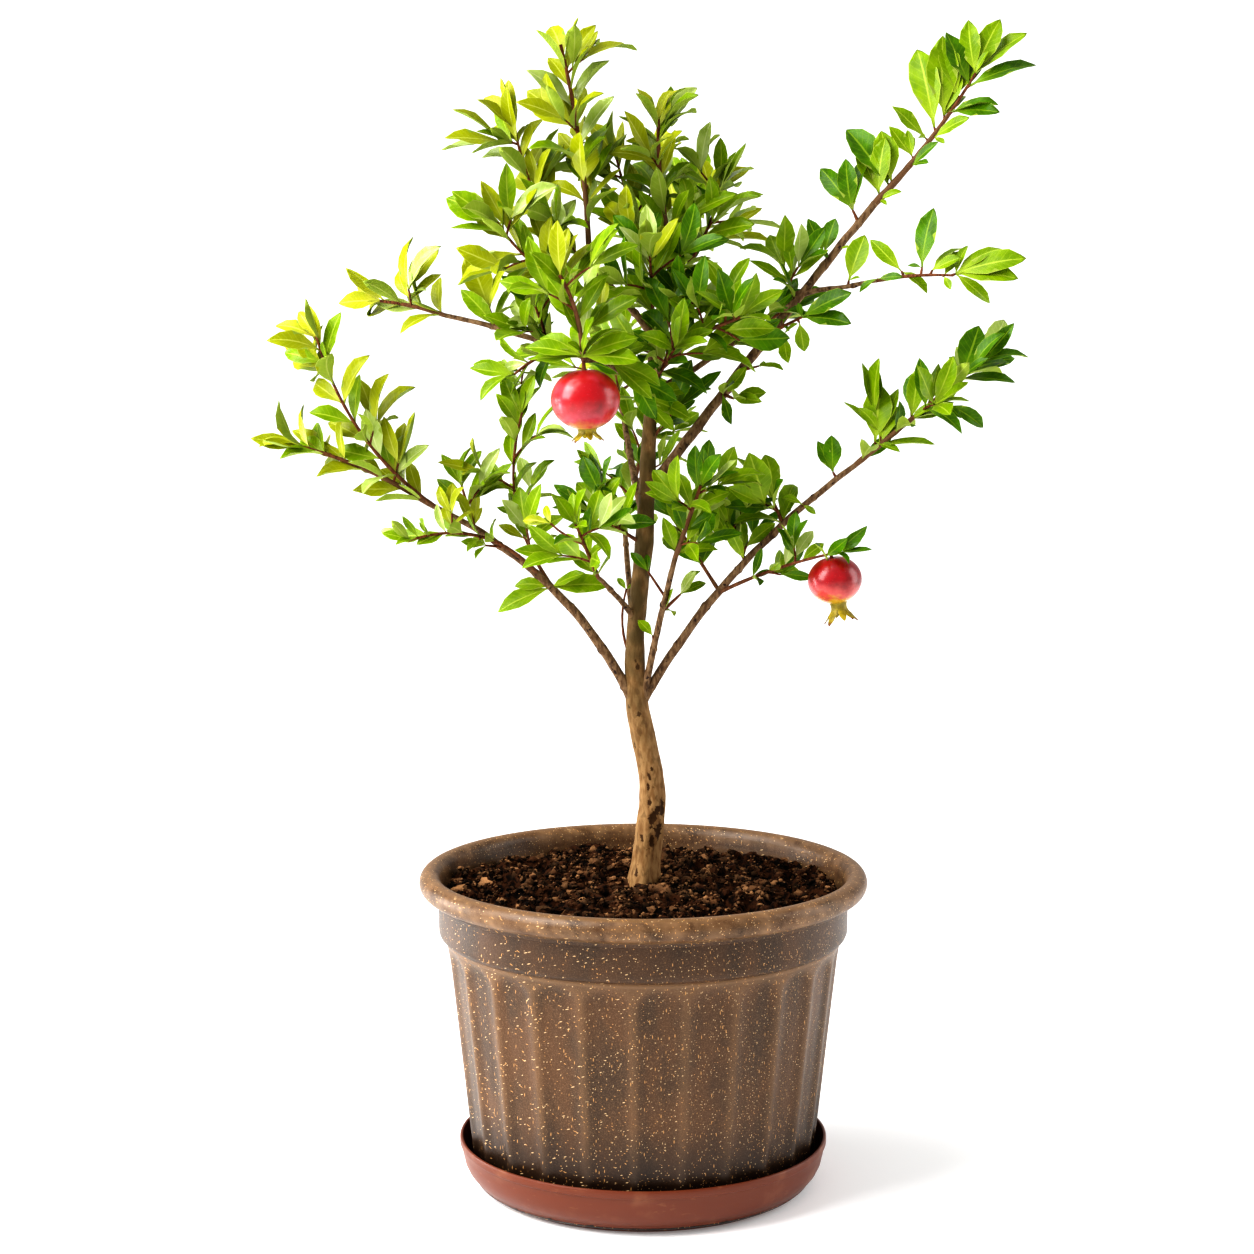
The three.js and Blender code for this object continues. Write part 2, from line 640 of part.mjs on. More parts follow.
/** One mass of foliage: stem, twigs, leaves and fruit, each left out where it would touch a neighbour. */
function growMass(mass, stem, stemSolid, masses) {
  const neighbours = [...wood, ...masses];
  const random = stream(seedOf(mass.name) + 1);
  const hung = mass.fruit ? fruitSolids(pointOn(stem, mass.fruit.at), mass.fruit) : [];
  const parts = [stemSolid, ...hung];
  const guards = [];
  const twigs = [{ ...stem, length: mass.reach, bare: mass.bare }];
  for (const twig of sideTwigs(mass, stem)) {
    const solid = limbSolid(twig);
    if (touches(limbSolid(twig, CLEARANCE), neighbours)) continue;
    parts.push(solid);
    twigs.push({ ...twig, bare: TWIG.bare });
  }
  for (const twig of twigs) {
    for (const { share, turn, size, follow } of leafPlaces(twig.length, twig.bare, random)) {
      const along = leaning(twig, share, turn, follow, LEAF.out, LEAF.lift);
      const root = pointOn(twig, share);
      const face = sideways(random).lerp(TO_LIGHT, LIGHT.pull);
      const length = LEAF.length * mass.leaf * size;
      const matrix = leafMatrix(root, along, face, length).elements;
      if (touches(BLADE_GUARD.transform(matrix), [...neighbours, ...hung])) continue;
      const outer = OUTER_GUARD.transform(matrix);
      if (touches(outer, guards)) continue;
      guards.push(outer);
      parts.push(BLADE.transform(matrix));
    }
  }
  const fused = wasm.Manifold.union(parts).asOriginal().simplify(FINEST);
  return cutClear(fused, wood).asOriginal().simplify(SLIVER);
}

// ---------------------------------------------------------------- assembly

const tree = new THREE.Group();

/** Adds one named node to the tree. */
function addNode(name, solid, { color, roughness }) {
  const material = new THREE.MeshStandardMaterial({ color, roughness, metalness: 0 });
  const node = new THREE.Mesh(geometryOf(solid), material);
  node.name = name;
  tree.add(node);
}

addNode("saucer", saucerSolid(), COLOURS.saucer);
addNode("pot", potSolid(), COLOURS.pot);
addNode("soil", soilSolid(), COLOURS.soil);

const limbs = new Map();
const wood = [];

/** Adds a limb to the tree, clear of the earlier ones, and keeps it for what follows. */
function addLimb(key, nodeName, limb) {
  addNode(nodeName, clearedSolid(limb, wood), COLOURS.bark);
  limbs.set(key, limb);
  wood.push(limbSolid(limb, CLEARANCE));
}

addLimb("trunk", "trunk", trunkLimb());
for (const [key, row] of Object.entries(BOUGHS)) {
  addLimb(key, `bough_${key}`, childLimb({ bow: 0, ...row }, limbs.get(row.on), LIMB_SIDES, LIMB_STEP));
}

// All stems come before any leaf, so that no leaf stands where a stem has to pass.
const stems = Object.entries(MASSES).map(([key, row]) => {
  const mass = { ...MASS_DEFAULTS, ...row, name: `mass_${key}` };
  const parent = limbs.get(mass.on);
  const foot = Math.min(parent.radiusAt(mass.at), mass.at >= 1 ? Infinity : STEM_FOOT);
  const tip = foot * TWIG.tipShare;
  const stem = childLimb({ ...mass, foot, tip }, parent, TWIG.sides, TWIG.step);
  return { mass, stem, space: limbSolid(stem, CLEARANCE) };
});

const grown = [];
stems.forEach(({ mass, stem }, i) => {
  const spaces = stems.map(({ space }) => space);
  const stemSolid = clearedSolid(stem, [...wood, ...spaces.slice(0, i)]);
  grown.push(growMass(mass, stem, stemSolid, [...grown, ...spaces.slice(i + 1)]));
  addNode(mass.name, grown.at(-1), COLOURS.foliage);
});

export default tree;
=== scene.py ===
"""A young pomegranate tree in a fluted composite pot on a saucer, dressed for rendering.

Sizes are in millimetres until a mesh is made, and in metres from there on. +Z is up and -Y is the front.
The limbs and the foliage grow by the part's own seeded rule, carried on here to finer twigs and leaves.
"""

import logging
import math
from dataclasses import dataclass, field
from enum import Enum

import bpy
import numpy as np
from mathutils import Matrix, Vector, noise


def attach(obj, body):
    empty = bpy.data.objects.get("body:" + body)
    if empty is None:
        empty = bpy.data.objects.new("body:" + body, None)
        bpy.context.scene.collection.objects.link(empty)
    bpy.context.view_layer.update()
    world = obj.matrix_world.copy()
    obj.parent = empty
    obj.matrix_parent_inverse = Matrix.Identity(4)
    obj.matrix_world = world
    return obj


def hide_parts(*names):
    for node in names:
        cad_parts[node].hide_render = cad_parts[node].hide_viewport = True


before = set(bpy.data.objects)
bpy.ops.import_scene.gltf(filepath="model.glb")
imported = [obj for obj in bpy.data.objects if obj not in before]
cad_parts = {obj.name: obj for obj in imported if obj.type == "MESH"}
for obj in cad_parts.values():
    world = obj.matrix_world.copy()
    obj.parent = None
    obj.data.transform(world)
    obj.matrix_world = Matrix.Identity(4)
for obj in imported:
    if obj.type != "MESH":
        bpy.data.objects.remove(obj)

log = logging.getLogger("pomegranate")

MM = 0.001
GOLDEN_ANGLE = math.pi * (3 - math.sqrt(5))
SOIL_TOP = 238.3  # where the trunk's flat cut stands, 0.3 mm above the soil
Pair = tuple[float, float]  # such as a radius and a height


# ---------------------------------------------------------------- the growing rule


class Stream:
    """A seeded stream of numbers from 0 to 1, the same on every run."""

    def __init__(self, seed: int) -> None:
        """Starts the stream at a seed."""
        self.state = seed & 0xFFFFFFFF

    @staticmethod
    def _product(a: int, b: int) -> int:
        """The low 32 bits of a product."""
        return (a * b) & 0xFFFFFFFF

    def __call__(self) -> float:
        """The next number.

        Returns:
            A number from 0 to just under 1.
        """
        self.state = (self.state + 0x6D2B79F5) & 0xFFFFFFFF
        state = self.state
        mixed = self._product(state ^ (state >> 15), 1 | state)
        mixed = ((mixed + self._product(mixed ^ (mixed >> 7), 61 | mixed)) & 0xFFFFFFFF) ^ mixed
        return (mixed ^ (mixed >> 14)) / 4294967296

    def between(self, low: float, high: float) -> float:
        """The next number, from low to high."""
        return low + (high - low) * self()

    def direction(self) -> Vector:
        """A direction left to chance.

        Returns:
            A unit vector.
        """
        height = self.between(-1, 1)
        turn = self.between(0, 2 * math.pi)
        level = math.sqrt(1 - height * height)
        return Vector((level * math.cos(turn), level * math.sin(turn), height))


def seed_of(name: str) -> int:
    """A seed worked out from a name, so that each mass grows in its own way.

    Args:
        name: the name.

    Returns:
        The seed, from 0 to 2**32 - 1.
    """
    total = 7
    for letter in name:
        total = (total * 31 + ord(letter)) & 0xFFFFFFFF
    return total


def direction(heading: float, rise: float) -> Vector:
    """The unit vector with a compass heading and a climb, in degrees."""
    turn, climb = math.radians(heading), math.radians(rise)
    return Vector((math.cos(turn) * math.cos(climb), math.sin(turn) * math.cos(climb), math.sin(climb)))


class Path:
    """A smooth curve through space, measured by shares of its length."""

    def __init__(self, points: list[Vector]) -> None:
        """Keeps close-set points and the length up to each.

        Args:
            points: points along the curve, in millimetres.
        """
        self.points = np.array([tuple(p) for p in points])
        steps = np.linalg.norm(np.diff(self.points, axis=0), axis=1)
        self.reached = np.concatenate([[0.0], np.cumsum(steps)])
        self.length = float(self.reached[-1])

    def at(self, share: float) -> Vector:
        """The point at a share of the length."""
        along = min(1.0, max(0.0, share)) * self.length
        return Vector([float(np.interp(along, self.reached, self.points[:, axis])) for axis in range(3)])

    def tangent(self, share: float) -> Vector:
        """The unit vector along the curve at a share of its length."""
        near = 0.004
        return (self.at(share + near) - self.at(share - near)).normalized()

    def frames(self, steps: int) -> list[tuple[Vector, Vector, Vector]]:
        """Frames that don't twist, one at each step.

        Args:
            steps: how many even steps to take.

        Returns:
            A (tangent, normal, binormal) for each step's start, and one for the end.
        """
        tangents = [self.tangent(i / steps) for i in range(steps + 1)]
        smallest = min(range(3), key=lambda axis: abs(tangents[0][axis]))
        start = Vector([1.0 if axis == smallest else 0.0 for axis in range(3)])
        normal = tangents[0].cross(tangents[0].cross(start).normalized())
        found = [(tangents[0], normal, tangents[0].cross(normal))]
        for before, tangent in zip(tangents, tangents[1:]):
            axis = before.cross(tangent)
            if axis.length > 1e-7:
                turn = math.acos(max(-1.0, min(1.0, before.dot(tangent))))
                normal = Matrix.Rotation(turn, 3, axis.normalized()) @ normal
            found.append((tangent, normal, tangent.cross(normal)))
        return found


def bowed_path(foot: Vector, along: Vector, reach: float, bow: float) -> Path:
    """A curve along a straight line, its middle lifted square to that line.

    Args:
        foot: where it starts.
        along: the unit vector of the line.
        reach: the line's length.
        bow: the lift as a share of the reach.

    Returns:
        The curve.
    """
    up = (Vector((0, 0, 1)) - along * along.z).normalized()
    tip = foot + along * reach
    middle = (foot + tip) * 0.5 + up * (2 * bow * reach)
    shares = np.linspace(0, 1, 41)
    return Path([foot * (1 - t) ** 2 + middle * (2 * t * (1 - t)) + tip * t * t for t in shares])


def smooth_path(stations: list[Vector]) -> Path:
    """The centripetal curve through a row of stations.

    Args:
        stations: the points that it passes.

    Returns:
        The curve.
    """
    ends = [stations[0] * 2 - stations[1], *stations, stations[-1] * 2 - stations[-2]]
    points = []
    for p0, p1, p2, p3 in zip(ends, ends[1:], ends[2:], ends[3:]):
        gaps = [max(1e-4, math.sqrt((b - a).length)) for a, b in ((p0, p1), (p1, p2), (p2, p3))]
        slope_in = ((p1 - p0) / gaps[0] - (p2 - p0) / (gaps[0] + gaps[1]) + (p2 - p1) / gaps[1]) * gaps[1]
        slope_out = ((p2 - p1) / gaps[1] - (p3 - p1) / (gaps[1] + gaps[2]) + (p3 - p2) / gaps[2]) * gaps[1]
        for t in np.linspace(0, 1, 20, endpoint=False):
            points.append(
                p1 * (2 * t**3 - 3 * t**2 + 1) + slope_in * (t**3 - 2 * t**2 + t)
                + p2 * (3 * t**2 - 2 * t**3) + slope_out * (t**3 - t**2)
            )
    return Path([*points, stations[-1]])


@dataclass(frozen=True)
class Shoot:
    """A bough, or the stem of a mass of foliage, and what grows on it.

    It leaves its parent at a share of the parent's length. heading and rise are the turn and the climb of the
    straight line from foot to tip, in degrees. Lengths are in millimetres.
    """

    on: str  # its parent
    at: float
    heading: float
    rise: float
    reach: float
    bow: float = 0  # how far its middle is lifted, as a share of its reach
    foot: float = 3.0  # a bough's radius at its foot
    tip: float = 2.0  # a bough's radius at its tip
    twigs: int = 0  # how many side twigs it has
    spread: float = 0  # the length of its lowest side twig
    bare: float = 0.05  # the share of it before its first leaves
    leaf: float = 1.0  # its leaves' size against the plant's own
    pitch: float = 14.6  # the length between its pairs of leaves
    taper: float = 0.55  # a stem's tip radius as a share of its foot's


@dataclass(frozen=True)
class Spur:
    """A short shoot beside a mass, with its few leaves: the heading, the climb and the length of each."""

    at: float
    heading: float
    rise: float
    reach: float
    leaves: tuple[tuple[float, float, float], ...]
    on: str = "stem"  # the mass's own stem, or else a limb's name
    bow: float = 0
    oval: bool = False  # whether its first leaf is broad and oval


@dataclass
class Limb:
    """A grown limb: its curve and its radius at a share of its length."""

    name: str
    path: Path
    stations: list[Pair]
    steps: int

    def radius(self, share: float) -> float:
        """The radius at a share of the length, in millimetres."""
        shares, radii = zip(*self.stations)
        return float(np.interp(share, shares, radii))


TRUNK = [
    (-8, -1, 15.5), (0, 0, 13.8), (20, 2.2, 11.6), (80, 6.8, 10.2), (145, -4.8, 8.6), (195, -6.5, 7.1),
    (270, 0.5, 6.9), (335, 3.4, 6.1), (433, 8.5, 3.6),
]  # height above the soil, sideways place, radius

KNOTS = [
    (0.142, 6.35, 3.8), (0.157, 6.75, 3), (0.121, 6.9, 3.6), (0.1, 6.5, 3.2), (0.107, 5.75, 1.8),
    (0.2, 5.95, 1.8), (0.172, 6.05, 1.8), (0.16, 7.2, 4), (0.045, 5.7, 2.2), (0.22, 6.1, 1.7),
    (0.33, 6.3, 1.8), (0.18, 3.4, 5),
]  # the share along the trunk, the turn round it in radians, and the size in millimetres

BOUGHS = {
    "right_low": Shoot("trunk", 0.337, -8, 49, 254, 0.055, 3.7, 2.1),
    "left_low": Shoot("trunk", 0.331, -171, 45.5, 231, 0.09, 4.2, 2),
    "right_inner": Shoot("right_low", 0.03, -52, 71, 122, 0.01, 3, 2),
    "back_low": Shoot("trunk", 0.458, 98, 55, 104, -0.03, 2.8, 1.9),
    "left_small": Shoot("trunk", 0.492, -129, 40, 60, 0.03, 2.4, 1.6),
    "back_mid": Shoot("trunk", 0.666, 100, 38, 125, -0.04, 3.2, 2.1),
    "upper_right": Shoot("trunk", 0.717, 6, 51.5, 282, 0.005, 4.1, 2.8),
    "upper_right_side": Shoot("upper_right", 0.685, -20, 10, 60, 0, 2, 1.5),
    "front": Shoot("trunk", 0.853, -119, 24, 112, 0.12, 3, 2),
    "right_mid": Shoot("trunk", 0.887, 18, 30, 72, 0, 2.6, 1.9),
    "left_mid": Shoot("trunk", 0.902, 168, 18, 172, 0.03, 2.8, 1.8),
    "back_high": Shoot("trunk", 0.931, 75, 42, 105, -0.04, 2.8, 2),
    "front_right": Shoot("trunk", 0.921, -50, 32, 62, 0, 2.5, 1.9),
    "crown_left": Shoot("trunk", 0.985, -168, 47, 74, 0.03, 2.9, 2.1),
    "crown_right": Shoot("trunk", 0.995, 40, 72, 58, 0, 3.1, 2.2),
}

MASSES = {
    "left_low_tip": Shoot("left_low", 1, -171, 25, 106, 0.04, twigs=2, spread=20, pitch=16),
    "left_low_upright": Shoot(
        "left_low", 0.97, -160, 55, 160, -0.09, twigs=2, spread=22, bare=0.25, pitch=17,
    ),
    "left_mid_tip": Shoot("left_mid", 1, 172, 12, 52, 0.03, twigs=1, spread=20),
    "right_low_tip": Shoot("right_low", 1, -8, 40, 122, 0.0, twigs=3, spread=28, leaf=1.05, pitch=17),
    "upper_right_tip": Shoot("upper_right", 1, 6, 52, 124, -0.03, leaf=0, taper=0.3),
    "upper_right_side": Shoot("upper_right_side", 1, -22, 4, 60, 0.03, leaf=0),
    "leader": Shoot("crown_left", 1, -155, 82, 166, 0.03, twigs=3, spread=24, bare=0.2, leaf=1.1, pitch=15),
    "crown_left": Shoot(
        "crown_left", 0.55, -162, 30, 112, -0.12, twigs=4, spread=24, bare=0.15, leaf=1.08, pitch=15,
    ),
    "crown_left_top": Shoot(
        "crown_left", 0.9, 168, 61, 132, -0.1, twigs=3, spread=20, bare=0.15, leaf=1.08, pitch=15,
    ),
    "crown_right_top": Shoot("crown_right", 1, 180, 84, 106, -0.03, twigs=4, spread=24, pitch=15),
    "crown_top": Shoot("crown_right", 0.85, 155, 62, 96, -0.06, twigs=3, spread=34, pitch=17),
    "crown_right": Shoot("crown_right", 0.55, 40, 55, 100, -0.09, twigs=4, spread=36, bare=0.15, pitch=17),
    "crown_right_low": Shoot("crown_right", 0.3, -40, 12, 36, -0.05, twigs=2, spread=24, bare=0.15),
    "front_fruit": Shoot("front", 1, -120, 62, 70, 0.1, twigs=3, spread=36),
    "right_low_fruit": Shoot(
        "right_low", 0.43, -31, 20, 112, 0.03, twigs=3, spread=16, bare=0.3, leaf=0.66, pitch=17,
    ),
    "left_low_mid": Shoot("left_low", 0.83, 150, 70, 34, twigs=1, spread=22, leaf=0.85),
    "left_inner": Shoot(
        "left_low", 0.48, 172, 79, 142, -0.13, twigs=5, spread=36, bare=0.2, leaf=0.82, pitch=19,
    ),
    "left_twig": Shoot(
        "left_low", 0.56, -149, 17, 118, 0.15, twigs=1, spread=20, bare=0.4, leaf=0.62, pitch=15,
    ),
    "left_mid_spur": Shoot("left_mid", 0.76, 150, 70, 16),
    "left_mid_root": Shoot("left_mid", 0.5, -120, 55, 36, twigs=2, spread=26, leaf=0.9),
    "left_mid_under": Shoot("left_mid", 0.45, -160, -28, 42, 0.05, twigs=2, spread=26, leaf=0.9),
    "right_low_mid": Shoot("right_low", 0.56, 150, 62, 30, twigs=3, spread=22, leaf=0.85, pitch=17),
    "right_low_spur": Shoot("right_low", 0.72, 165, 66, 20, twigs=1, spread=20),
    "right_cross": Shoot("right_low", 0.44, 138, 48, 72, twigs=1, spread=28, bare=0.35, leaf=0.85, pitch=16),
    "right_inner": Shoot("right_inner", 1, -56, 60, 66, twigs=4, spread=26, leaf=0.9, pitch=18),
    "right_inner_low": Shoot("right_inner", 0.62, 20, 40, 20, leaf=0.6),
    "upper_right_mid": Shoot("upper_right", 0.66, 150, 68, 28, twigs=1, spread=22, leaf=0.95),
    "upper_right_spur": Shoot("upper_right", 0.93, 172, 66, 9, leaf=0),
    "upper_right_low": Shoot("upper_right", 0.55, -25, 26, 27, leaf=0),
    "upper_right_foot": Shoot("upper_right", 0.34, -60, -10, 16, leaf=0.7),
    "right_mid": Shoot("right_mid", 1, 22, 30, 56, twigs=3, spread=24, leaf=0.85, pitch=17),
    "left_small": Shoot("left_small", 1, -112, 46, 62, twigs=2, spread=28, leaf=0.85, pitch=18),
    "trunk_left": Shoot("trunk", 0.627, -158, 32, 52, twigs=2, spread=26, bare=0.3, leaf=0.85, pitch=18),
    "trunk_right": Shoot("trunk", 0.804, -15, 52, 34, twigs=1, spread=28, bare=0.4),
    "front_right": Shoot("front_right", 1, -30, 20, 38, twigs=4, spread=26, leaf=0.9),
    "front_top": Shoot("trunk", 0.985, -95, 56, 76, twigs=4, spread=38, bare=0.3, pitch=17),
    "front_middle": Shoot("trunk", 0.902, -72, 30, 62, twigs=4, spread=36, bare=0.4, pitch=17),
    "back_low": Shoot("back_low", 1, 70, 52, 84, twigs=6, spread=36, leaf=0.8, pitch=30),
    "back_mid": Shoot("back_mid", 1, 105, 40, 88, twigs=6, spread=44, pitch=20),
    "back_high": Shoot("back_high", 1, 80, 46, 92, twigs=6, spread=44, pitch=19),
}

# The masses whose tips have just grown.
YOUNG_TIPS = {"leader", "crown_right_top", "left_low_upright", "crown_left_top", "left_mid_tip"}

# Short side shoots of a leaf or two that stand between the masses, by the mass they belong to.
SPURS = {
    "right_low_tip": [
        Spur(0.93, 180, 60, 6, ((100, 84, 29), (170, 62, 27)), on="right_low", oval=True),
        Spur(0.16, 120, 80, 5, ((60, 80, 46), (-40, -8, 22)), oval=True),
        Spur(0.45, 120, 80, 6, ((80, 82, 31),), oval=True),
        Spur(0.62, -10, -12, 12, ((-12, -24, 33), (-60, -30, 16))),
    ],
    "upper_right_side": [
        Spur(0.62, 10, 80, 4, ((10, 73, 38), (-60, 20, 12)), on="upper_right_side", oval=True),
        Spur(0.02, -100, 20, 3, ((175, -14, 18), (-30, 14, 20))),
        Spur(0.36, 120, 50, 5, ((176, 48, 35), (-24, -24, 26))),
        Spur(0.58, 60, 70, 6, ((-10, 88, 46), (150, 20, 13))),
        Spur(0.7, 30, 60, 4, ((-30, 30, 24), (20, 52, 34)), oval=True),
        Spur(0.98, -20, 20, 3, ((4, 42, 46), (-14, 22, 54), (-22, 6, 48), (-28, -32, 35), (60, 60, 30))),
        Spur(0.86, -60, -30, 2, ((-70, -30, 15), (40, 50, 30))),
    ],
    "upper_right_spur": [
        Spur(0.9, 172, 60, 3, ((174, 57, 46), (178, 76, 40), (60, 82, 44), (-100, 30, 18))),
        Spur(0.8, 150, 60, 7, ((20, 74, 29), (170, 62, 30), (-80, -10, 10)), on="upper_right", oval=True),
        Spur(0.84, -40, 10, 3, ((-40, 20, 8),), on="upper_right"),
    ],
    "upper_right_low": [
        Spur(0.95, -20, 20, 3, ((-30, 34, 44), (-34, 4, 42), (160, 70, 12))),
        Spur(0.9, -30, -50, 3, ((-30, -80, 23),), oval=True),
        Spur(0.45, 100, 60, 2, ((80, 70, 16), (-70, -20, 9))),
    ],
    "upper_right_tip": [
        Spur(0.98, 10, 60, 3, ((5, 72, 46), (4, 48, 50), (160, 75, 42), (-60, 60, 20))),
        Spur(0.9, -20, 30, 3, ((-14, 30, 56), (172, 66, 46), (60, 60, 32))),
        Spur(0.82, 150, 60, 3, ((170, 78, 48), (30, 66, 38), (178, 50, 28))),
        Spur(0.71, -20, 30, 3, ((-20, 26, 36), (-30, 8, 38), (-100, 10, 12))),
        Spur(0.52, -30, 20, 3, ((-34, 36, 32), (-60, -10, 14))),
        Spur(0.66, 100, 70, 4, ((40, 75, 42), (170, 84, 62), (20, 50, 30)), oval=True),
        Spur(0.57, 150, 70, 4, ((176, 80, 70),)),
        Spur(0.5, 165, 45, 3, ((176, 47, 37), (120, 30, 14))),
        Spur(0.36, 160, 50, 3, ((172, 53, 30), (150, 80, 22), (100, 50, 26))),
        Spur(0.3, -40, 20, 4, ((-40, 44, 27), (-60, 14, 20))),
        Spur(0.16, 165, 60, 3, ((172, 80, 40), (150, 50, 20)), oval=True),
        Spur(0.14, 160, 40, 3, ((172, 57, 58), (90, 60, 30))),
        Spur(0.05, 165, 60, 3, ((178, 88, 44), (170, 66, 40))),
        Spur(0.02, -30, 20, 3, ((-40, 30, 18), (-80, -10, 12))),
    ],
    "upper_right_foot": [
        Spur(0.42, -20, 15, 15, ((-15, 8, 20), (-70, 20, 12)), on="upper_right"),
        Spur(0.33, -70, 30, 5, ((-70, 36, 20), (-60, -62, 25)), on="upper_right", oval=True),
        Spur(0.54, -30, 8, 14, ((-90, -72, 23), (-60, 35, 16)), on="upper_right", oval=True),
    ],
    "right_low_spur": [
        Spur(0.715, 150, 70, 10, ((176, 40, 41),), on="right_low"),
        Spur(0.8, -90, 20, 4, ((-160, 30, 18), (-40, -20, 13)), on="right_low"),
    ],
    "left_small": [
        Spur(0.41, 176, 84, 62, ((150, 60, 14), (30, 40, 11)), on="trunk", bow=-0.1),
        Spur(0.62, 178, 32, 30, ((176, 20, 24), (130, 60, 20), (-150, 12, 18)), bow=-0.05),
    ],
    "right_inner_low": [
        Spur(0.4, -120, 62, 7, ((170, 52, 17),), on="right_inner", oval=True),
        Spur(0.72, 160, 54, 24, ((160, 50, 22), (100, 66, 16)), on="right_inner"),
    ],
    "left_twig": [
        Spur(0.72, -120, 8, 24, ((180, 10, 20), (-130, -20, 15), (150, 40, 16)), on="left_low"),
        Spur(0.5, -100, -10, 6, ((-150, -30, 14),)),
    ],
    "left_inner": [
        Spur(0.5, -150, 40, 3, ((-172, -14, 46), (-176, 20, 30), (-8, 12, 45), (-20, 34, 30)), on="left_low"),
    ],
    "front_fruit": [
        Spur(0.03, -110, 10, 3, (
            (178, 20, 44), (170, 2, 42), (160, 42, 40), (-8, 28, 44), (-18, 6, 44), (-80, 62, 36),
            (20, 12, 40),
        )),
        Spur(0.66, -80, 20, 5, ((-26, -34, 42), (-12, -12, 42), (-50, 30, 38), (10, 30, 38)), on="front"),
        Spur(0.38, -80, 20, 5, ((-24, -52, 38), (-8, -18, 40), (-60, 24, 34), (170, 24, 34)), on="front"),
        Spur(0.14, -70, 20, 6, ((-16, -14, 38), (-50, -40, 34), (-140, 6, 34), (15, 20, 38)), on="front"),
    ],
}

BOUGH_STEP, STEM_STEP = 42, 64  # the length of one segment of the source's coarse boughs and stems
STEM_FOOT = 1.5  # the thickest foot radius of a stem that leaves the side of a limb
SPUR_FOOT, SPUR_TIP = 1.1, 0.7  # a spur's radii
TWIG_STATIONS = [(0, 0.95), (1, 0.6)]  # a side twig's radii, by the share of its length
TWIG_SIDES = 7


def trunk_limb() -> Limb:
    """The trunk, from its stations.

    Returns:
        The limb.
    """
    path = smooth_path([Vector((x, 0, SOIL_TOP + height)) for height, x, _ in TRUNK])
    low, high = TRUNK[0][0], TRUNK[-1][0]
    return Limb("trunk", path, [((h - low) / (high - low), r) for h, _, r in TRUNK], 14)


def child_limb(name: str, shoot: Shoot | Spur, parent: Limb, foot: float, tip: float, step: float) -> Limb:
    """A bough or a stem that leaves its parent limb.

    Args:
        name: its name.
        shoot: how it grows.
        parent: the limb that it leaves.
        foot: its radius at the foot.
        tip: its radius at the tip.
        step: the length of one segment of the rule's own coarse limb.

    Returns:
        The limb.
    """
    start = parent.path.at(shoot.at)
    path = bowed_path(start, direction(shoot.heading, shoot.rise), shoot.reach, shoot.bow)
    return Limb(name, path, [(0, foot), (1, tip)], max(1, round(shoot.reach / step)))


def leaning(limb: Limb, share: float, turn: float, follow: float, out: float, lift: float) -> Vector:
    """A direction that leans out of a limb at a turn round it, and up to the light.

    Args:
        limb: the limb.
        share: where along it.
        turn: the turn round it from its first face, in radians.
        follow: how far the direction follows the limb.
        out: how far it leans out.
        lift: how far it turns up.

    Returns:
        A unit vector.
    """
    step = min(limb.steps - 1, int(share * limb.steps))
    tangent, normal, binormal = limb.path.frames(limb.steps)[step]
    angle = turn + math.pi / 3
    lean = tangent * follow + normal * (math.sin(angle) * out) - binormal * (math.cos(angle) * out)
    return (lean + Vector((0, 0, lift))).normalized()


def side_twigs(name: str, shoot: Shoot, stem: Limb) -> list[Limb]:
    """The side twigs of a stem: a golden-angle spiral with a little chance in it.

    Args:
        name: the mass's node name, which seeds the chance.
        shoot: the mass's numbers.
        stem: its stem.

    Returns:
        The twigs as limbs.
    """
    chance = Stream(seed_of(name))
    start = chance() * 2 * math.pi
    twigs = []
    for i in range(shoot.twigs):
        share = shoot.bare + (1 - shoot.bare) * (i + 0.5) / shoot.twigs
        turn = start + i * GOLDEN_ANGLE + (chance() - 0.5) * 0.5
        length = shoot.spread * (1 - 0.35 * share) * (0.85 + 0.15 * chance())
        along = leaning(stem, share, turn, 0.2, 0.8, 0.35)
        path = bowed_path(stem.path.at(share), along, length, 0.04)
        twigs.append(Limb(f"{name}_twig{i}", path, TWIG_STATIONS, 1))
    return twigs


# ---------------------------------------------------------------- making meshes


def tidy_selection() -> None:
    """Leaves nothing selected, so that the next operator acts on its own piece only."""
    if bpy.context.object and bpy.context.object.mode != "OBJECT":
        bpy.ops.object.mode_set(mode="OBJECT")
    bpy.ops.object.select_all(action="DESELECT")


def take(piece: bpy.types.Object) -> None:
    """Makes a piece the active object and the only one selected.

    Args:
        piece: the piece.
    """
    tidy_selection()
    piece.select_set(True)
    bpy.context.view_layer.objects.active = piece


def linked(name: str, data: bpy.types.ID) -> bpy.types.Object:
    """A new object in the scene.

    Args:
        name: its name.
        data: its mesh, light or camera.

    Returns:
        The object, at the origin.
    """
    item = bpy.data.objects.new(name, data)
    bpy.context.scene.collection.objects.link(item)
    return item


def new_piece(name: str, places: np.ndarray, faces: list[tuple[int, ...]] | np.ndarray) -> bpy.types.Object:
    """A mesh object from places in millimetres.

    Args:
        name: the piece's name.
        places: one row for each vertex.
        faces: vertex numbers of each face.

    Returns:
        The object, at the origin, its mesh in metres.
    """
    mesh = bpy.data.meshes.new(name)
    mesh.from_pydata([tuple(p) for p in (np.asarray(places) * MM).tolist()], [], [tuple(f) for f in faces])
    mesh.update(calc_edges=True)
    return linked(name, mesh)


